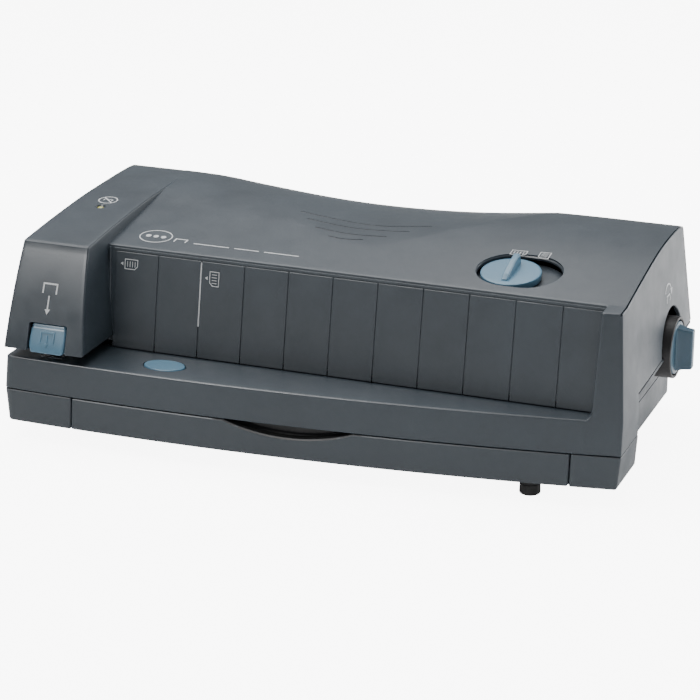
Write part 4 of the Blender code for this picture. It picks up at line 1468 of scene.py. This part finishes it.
def patch(outline, surface):
    """Filled printed shape."""
    return loft("patch", [[surface(a, b, lift) for a, b in outline] for lift in (-0.06, PRINT_LIFT)])


def shifted(points, a, b, factor=1.0):
    return [(a + p * factor, b + q * factor) for p, q in points]


def page(a, b, wide, tall, surface, upright, mirror=1):
    """Sheet of paper with a folded corner and lines of writing."""
    fold = 2.1
    corner = [(0, 0), (wide - fold, 0), (wide, fold), (wide, tall), (0, tall)]
    corner = [(p if mirror > 0 else wide - p, q) for p, q in corner]
    items = [line(shifted(corner, a, b), 0.5, surface, closed=True)]
    for k in range(4):
        share = (k + 1) / 5
        if upright:
            row = [(1.5, tall * share), (wide - 1.5, tall * share)]
        else:
            row = [(wide * share, 1.4), (wide * share, tall - 1.4)]
        items.append(line(shifted(row, a, b), 0.38, surface))
    return items


def pointer(a, b, size, surface):
    return patch([(a, b), (a + size, b - size * 0.6), (a + size, b + size * 0.6)], surface)


def printed(name, items, finish="ink"):
    settle(merged(name, items), look(finish), "base", slot="upper_cover")


class PUNCH_OT_markings(bpy.types.Operator):
    """Pad-printed symbols: paper guides, stapling, formats and turning direction"""
    bl_idname = "punch.markings"
    bl_label = "Printed Symbols"

    def execute(self, context):
        sizes = context.scene.punch_sizes
        wall = [pointer(-157.6, 115.2, 2.0, on_wall), pointer(-94.6, 112.4, 2.0, on_wall)]
        wall += page(-154.2, 111.8, 9.4, 6.6, on_wall, False) + page(-91.0, 107.4, 6.6, 9.6, on_wall, True,
                                                                     -1)
        guide = GUIDE_X + 2 * sizes.panel_pitch * 1000 + sizes.groove * 500
        wall.append(line([(guide, 122.4), (guide, 79.0)], 0.85, on_wall))
        printed("wall_symbols", wall)

        front = [patch(shifted(bracket_outline(5.5, 6.6, 1.0), -191.2, 108.6), on_tower_front),
                 patch(shifted(arrow_outline(12.0, 3.4, 0.5), -191.2, 100.6), on_tower_front)]
        printed("tower_symbols", front)

        x, y, radius = -194.5, 0.0, 6.6
        ring = shifted(circle(radius, 48), x, y)
        cross = [line(ring, 0.8, on_tower_top, closed=True),
                 line([(x - radius * 0.66, y + radius * 0.66), (x + radius * 0.66, y - radius * 0.66)], 0.8,
                      on_tower_top),
                 patch(shifted(bracket_outline(3.4, 3.0, 0.6), x, y + 1.6), on_tower_top)]
        printed("status_symbol", cross)

        top = page(102.0, -0.4, 10.5, 6.6, on_top, False) + page(121.5, -1.6, 7.2, 8.8, on_top, True, -1)
        printed("format_symbols", top)

        hint = [line(shifted([(11.5 * a, 9.4 * b) for a, b in circle(1.0, 56)], -141, -36), 0.75, on_top,
                     closed=True)]
        hint += [patch(shifted(circle(1.9, 24), -141 + 5.6 * k, -36), on_top) for k in (-1, 0, 1)]
        hint.append(patch(shifted(bracket_outline(4.6, 5.0, 0.9), -121.5, -35.6), on_top))
        hint += [line([(x, -40.0), (x + wide, -40.0)], 1.0, on_top) for x,
                 wide in ((-111, 26), (-81, 18), (-59, 25))]
        # Black strips under the finger-line grooves: painted shade in the grooves.
        shade = [line([(x, y) for x, y, _ in arc_route(route)], 0.9, lambda x, y,
                      lift: on_top(x, y, lift - 0.42))
                 for route in FINGER_LINES]
        printed("finger_line_beds", shade, "black")
        printed("function_symbols", hint)

        arc = [(KNOB.y - 6 + 8.4 * math.cos(a), 103 + 8.4 * math.sin(a)) for a in steps(0.3, 2.7, 18)]
        side = [line(arc, 1.1, on_right_wall),
                patch(shifted([(-2.4, 2.3), (3.1, 1.5), (0.0, -2.8)], arc[0][0], arc[0][1] - 1.0),
                      on_right_wall),
                patch(shifted(bracket_outline(4.4, 5.0, 1.0), KNOB.y - 6, 104.0), on_right_wall)]
        printed("turning_symbol", side)
        return {"FINISHED"}


# ---------------------------------------------------------------- mechanism
def refined(name, node_name, finish, edge=0.3, angle=35):
    """Bevelled copy of a CAD node that stands for it."""
    source = frame["nodes"][node_name]
    work = bmesh.new()
    work.from_mesh(source.data)
    bmesh.ops.remove_doubles(work, verts=work.verts, dist=1e-6)
    bmesh.ops.dissolve_limit(work, angle_limit=math.radians(1.0), verts=work.verts, edges=work.edges)
    mesh = bpy.data.meshes.new(name)
    work.to_mesh(mesh)
    work.free()
    item = linked(name, mesh)
    if edge:
        bevelled(item, edge, 2, angle)
    return settle(item, look(finish), source["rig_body"], (node_name,), angle=angle)


class PUNCH_OT_mechanism(bpy.types.Operator):
    """Punch frame, pins, cams, gears and stapler frame inside the housing"""
    bl_idname = "punch.mechanism"
    bl_label = "Mechanism"

    def execute(self, context):
        for node_name, finish, edge in (
                ("die_rail", "steel", 0.3), ("punch_frame", "zinc", 0.3), ("punch_bar", "steel", 0.5),
                ("staple_frame", "zinc", 0.25), ("staple_lever", "zinc", 0.4),
                                        ("staple_magazine", "black", 0.25),
                ("staple_pusher", "pusher", 0.4), ("motor_bracket", "zinc", 0.4),
                                        ("driver_blade", "steel", 0.1),
                ("camshaft", "steel", 0.4), ("staple_cam", "steel", 0.4), ("punch_cam_1", "steel", 0.4),
                ("punch_cam_2", "steel", 0.4), ("cam_gear", "nylon", 0.2), ("idler_gear", "nylon", 0.2),
                ("motor_pinion", "brass", 0.12), ("guide_rod_left", "steel", 0.4),
                                        ("guide_rod_right", "steel", 0.4),
                ("knob_shaft", "zinc", 0.4), ("paper_switch", "black", 0.4)):
            refined(node_name + "_finished", node_name, finish, edge)
        for node_name in ("idler_pin", "lever_pin", "motor_shaft"):
            refined(node_name + "_finished", node_name, "steel", 0.25)
        for number, x in enumerate(PUNCH_X, 1):
            name = "punch_pin_%d" % number
            low, high = span(name)
            radius = (high.x - low.x) / 2
            pin = turned(name + "_ground", (x, middle(name).y, 0), "Z",
                         ((low.z, radius), (low.z + 14.5, radius), (low.z + 14.8, radius - 0.35),
                          (low.z + 15.8, radius - 0.35), (low.z + 16.1, radius), (high.z - 0.5, radius),
                          (high.z, radius - 0.5)), 48)
            notch = along_x("tip", [(middle(name).y + a, low.z + b) for a, b in
                                    ((-radius - 1, -1), (radius + 1, -1), (radius + 1, 0), (0, 1.6),
                                     (-radius - 1, 0))],
                            x - 6, x + 6)
            cut(pin, notch)
            settle(pin, look("steel"), "punch_bar", (name,))
        wire = context.scene.punch_sizes.spring_wire * 1000
        for side in ("left", "right"):
            name = "return_spring_" + side
            low, high = span(name)
            spring = coil(name + "_coil", ((low.x + high.x) / 2, (low.y + high.y) / 2, low.z + wire / 2), 4.6,
                          high.z - low.z - wire, 6.5, wire, look("spring"))
            settle(spring, look("spring"), "base", (name,), angle=60)
            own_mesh(spring)
        return {"FINISHED"}


class PUNCH_OT_drive_motor(bpy.types.Operator):
    """Can motor with its vents, end cap and terminals"""
    bl_idname = "punch.drive_motor"
    bl_label = "Drive Motor"

    def execute(self, context):
        low, high = span("motor")
        y, z = middle("motor").y, middle("motor").z
        can = turned("motor_can", (0, y, z), "X",
                     ((low.x, 7.2), (low.x + 0.8, 8.0), (low.x + 5.6, 8.0), (low.x + 6.0, 16.2),
                      (low.x + 7.2, 17.6),
                      (low.x + 9.0, 18.0), (high.x - 9, 18.0), (high.x - 8.6, 17.5), (high.x - 7.6, 17.5),
                      (high.x - 7.2, 18.0), (high.x - 1.0, 18.0), (high.x, 17.0)), 72)
        opening = rectangle(-0.001, -0.0055, 0.001, 0.0055, 0.0009)
        slot = loft("vent", [[(a, b, c) for a, b in opening] for c in (-0.003, 0.003)], placed=False)
        slot.data.transform(Matrix.Rotation(math.pi / 2, 4, "Y"))
        grow(slot, ring_tree(), {"Count": 6, "Radius": 0.0178, "Material": look("iron")})
        slot.data.transform(Matrix.Translation(at(low.x + 20, y, z)) @ Matrix.Rotation(math.pi / 2, 4, "Y"))
        cut(can, slot)
        settle(can, look("iron"), "base", ("motor",))
        tabs = [bevelled(block("terminal", (low.x + 1.4, y - 0.4 + s, z - 2.2),
                               (low.x + 5.8, y + 0.4 + s, z + 2.2)), 0.2)
                for s in (-11.5, 11.5)]
        settle(merged("motor_terminals", tabs), look("brass"), "base", slot="motor")
        return {"FINISHED"}


class PUNCH_OT_electrics(bpy.types.Operator):
    """Control board with its parts and stand-offs, and the laminated transformer"""
    bl_idname = "punch.electrics"
    bl_label = "Electrics"

    def execute(self, context):
        refined("board", "control_board", "board", 0.2)
        for number in (1, 2, 3, 4):
            refined("standoff_%d" % number, "board_standoff_%d" % number, "nylon", 0.3)
        low, high = span("control_board")
        top = high.z - 0.02
        chips = []
        for x, y, wide, deep in ((-40, 60, 16, 16), (-8, 50, 10, 6.4), (-8, 76, 10, 6.4), (30, 82, 22, 7.6)):
            plan = rectangle(x - wide / 2, y - deep / 2, x + wide / 2, y + deep / 2, 0.4, 3)
            chips.append(rounded_prism("chip", plan, top, top + 2.2, 0, 0.35))
        settle(merged("board_chips", chips), look("black"), "base", slot="control_board")
        leg = bevelled(block("chip_legs", (-48.4, 50.4, top), (-47.9, 52.2, top + 1.0)), 0.1)
        grow(leg, row_tree(), {"Count": 14, "Step": (0.00127, 0, 0), "Material": look("staple")})
        settle(leg, look("staple"), "base", slot="control_board")
        can = turned("capacitors", (-CENTRE_X, -CENTRE_Y, 0), "Z",
                     ((top, 3.6), (top + 0.6, 4.0), (top + 1.6, 4.0), (top + 2.0, 3.8), (top + 2.4, 4.0),
                      (top + 13.4, 4.0), (top + 13.9, 3.6)), 32)
        spots = mesh_object("capacitor_row",
                            [(20, 44, 0), (31, 44, 0), (42, 50, 0), (18, 60, 0), (-56, 82, 0)], [])
        grow(spots, scatter_tree(), {"Part": can, "Material": look("black")})
        bpy.data.objects.remove(can)
        settle(spots, look("black"), "base", slot="control_board")
        header = rounded_prism("header", [(-30, 88), (6, 88), (6, 94), (-30, 94)], top, top + 8, 0, 0.4)
        cut(header, block("header_room", (-29, 89, top + 1.4), (5, 93, top + 12)))
        settle(header, look("nylon"), "base", slot="control_board")

        core_low, core_high = Vector((-150, 20, 14.6)), Vector((-96, 64, 60))
        sheet = 0.72
        plan = rectangle(core_low.x, core_low.z + 0.1, core_high.x, core_high.z - 0.1, 0.8, 3)
        rows = [(core_low.y + y, inset) for y,
                inset in ((0.02, 0.12), (0.12, 0), (sheet - 0.12, 0), (sheet - 0.02, 0.12))]
        leaf = stacked("transformer_core", plan, rows, "Y")
        grow(leaf, row_tree(),
             {"Count": int((core_high.y - core_low.y) / sheet), "Step": (0, sheet / 1000, 0),
                                "Material": look("iron")})
        settle(leaf, look("iron"), "base", ("transformer",))
        low, high = span("transformer")
        ends = []
        for y0, y1 in ((low.y + 0.2, core_low.y - 0.1), (core_high.y + 0.1, high.y - 0.2)):
            outline = rectangle(-142, 22.2, -104, 53.8, 5, 8)
            rows = [(y0, 1.8), (y0 + 0.7, 0.5), (y0 + 1.8, 0), (y1 - 1.8, 0), (y1 - 0.7, 0.5), (y1, 1.8)]
            ends.append(stacked("winding", outline, rows, "Y"))
        settle(merged("transformer_winding", ends), look("resin"), "base", slot="transformer")
        return {"FINISHED"}


# ---------------------------------------------------------------- studio
class PUNCH_OT_studio(bpy.types.Operator):
    """Pale floor, soft lights and the camera"""
    bl_idname = "punch.studio"
    bl_label = "Studio"

    def execute(self, context):
        studio = context.scene.punch_studio
        self.floor()
        self.lamp("key_light", (-0.40, 0.30, 1.50), (0.0, 0.0, 0.05), (1.9, 1.5), studio.key_power)
        self.lamp("side_light", (1.30, 1.10, 0.42), (0.20, 0.02, 0.08), (1.1, 0.8), studio.side_power)
        self.lamp("front_light", (-0.62, -1.10, 1.30), (-0.15, -0.08, 0.08), (0.6, 0.45), studio.front_power,
                  gloss_only=True)
        world = bpy.data.worlds.new("surround")
        world.use_nodes = True
        sky = world.node_tree.nodes["Background"]
        sky.inputs["Color"].default_value = (1.0, 1.0, 1.0, 1)
        self.glow(world.node_tree, sky.inputs["Strength"], studio.surround, studio.backdrop, 0.0)
        context.scene.world = world
        camera = linked("camera", bpy.data.cameras.new("camera"))
        camera.data.lens = studio.focal_length
        camera.data.sensor_width = 36.0
        turn = Matrix.Rotation(math.radians(20.64), 4, "Z") @ Matrix.Rotation(math.radians(69.936), 4, "X")
        turn = turn @ Matrix.Rotation(math.radians(0.303), 4, "Z")
        camera.matrix_world = Matrix.Translation((0.58635, -1.57773, 0.66922)) @ turn
        context.scene.camera = camera
        return {"FINISHED"}

    @staticmethod
    def floor():
        half = 6.0
        mesh = bpy.data.meshes.new("floor")
        mesh.from_pydata([(-half, -half, 0), (half, -half, 0), (half, half, 0), (-half, half, 0)], [],
                         [(0, 1, 2, 3)])
        item = linked("floor", mesh)
        paper, tree, shader, place = base_material("floor_paper")
        tone = mixed(tree, ranged(tree, noise(tree, place, 3.0), 0.0, 1.0), (0.93, 0.93, 0.93),
                     (0.95, 0.95, 0.95))
        tree.links.new(tone.outputs[2], shader.inputs["Base Color"])
        shader.inputs["Roughness"].default_value = 0.9
        shader.inputs["Specular IOR Level"].default_value = 0.1
        shader.inputs["Emission Color"].default_value = (1.0, 1.0, 1.0, 1)
        studio = bpy.context.scene.punch_studio
        PUNCH_OT_studio.glow(tree, shader.inputs["Emission Strength"], 0.0, studio.backdrop,
                             studio.floor_sheen)
        item.data.materials.append(paper)

    @staticmethod
    def glow(tree, socket, plain, backdrop, sheen):
        """Overexposed studio sweep: bright where it is the background, mild where it lights the object."""
        path = tree.nodes.new("ShaderNodeLightPath")
        value = plain
        for output, strength in (("Is Camera Ray", backdrop), ("Is Glossy Ray", sheen)):
            step = node(tree, "ShaderNodeMath")
            step.operation = "MULTIPLY_ADD"
            tree.links.new(path.outputs[output], step.inputs[0])
            step.inputs[1].default_value = strength
            if isinstance(value, float):
                step.inputs[2].default_value = value
            else:
                tree.links.new(value, step.inputs[2])
            value = step.outputs[0]
        tree.links.new(value, socket)

    @staticmethod
    def lamp(name, spot, aim, size, power, gloss_only=False):
        data = bpy.data.lights.new(name, "AREA")
        data.shape = "RECTANGLE"
        data.size, data.size_y = size
        data.energy = power
        item = linked(name, data)
        item.location = spot
        item.rotation_euler = (Vector(aim) - Vector(spot)).to_track_quat("-Z", "Y").to_euler()
        item.visible_diffuse = not gloss_only


# ---------------------------------------------------------------- sidebar and registration
OPERATORS = (
    PUNCH_OT_housing, PUNCH_OT_wall_panels, PUNCH_OT_lower_case, PUNCH_OT_chip_tray, PUNCH_OT_feet_and_screws,
    PUNCH_OT_bed_button, PUNCH_OT_selector, PUNCH_OT_side_knob, PUNCH_OT_staple_drawer,
             PUNCH_OT_small_fittings,
    PUNCH_OT_markings, PUNCH_OT_mechanism, PUNCH_OT_drive_motor, PUNCH_OT_electrics, PUNCH_OT_studio,
)


class PUNCH_PT_parts(bpy.types.Panel):
    """Sizes, colours and one button for each group of pieces"""
    bl_idname = "PUNCH_PT_parts"
    bl_label = "Electric Punch and Stapler"
    bl_space_type = "VIEW_3D"
    bl_region_type = "UI"
    bl_category = "Punch"

    def draw(self, context):
        scene = context.scene
        for group in (scene.punch_colours, scene.punch_sizes, scene.punch_studio):
            box = self.layout.box()
            for key in group.__annotations__:
                box.prop(group, key)
        for operator in OPERATORS:
            self.layout.operator(operator.bl_idname)


SETTINGS = {"punch_colours": PunchColours, "punch_sizes": PunchSizes, "punch_studio": PunchStudio}


def register():
    for kind in (*SETTINGS.values(), *OPERATORS, PUNCH_PT_parts):
        bpy.utils.register_class(kind)
    for name, kind in SETTINGS.items():
        setattr(bpy.types.Scene, name, bpy.props.PointerProperty(type=kind))


def unregister():
    for name in SETTINGS:
        delattr(bpy.types.Scene, name)
    for kind in (PUNCH_PT_parts, *reversed(OPERATORS), *SETTINGS.values()):
        bpy.utils.unregister_class(kind)


def main():
    register()
    for operator in OPERATORS:
        group, name = operator.bl_idname.split(".")
        getattr(getattr(bpy.ops, group), name)()


if __name__ == "__main__":
    main()
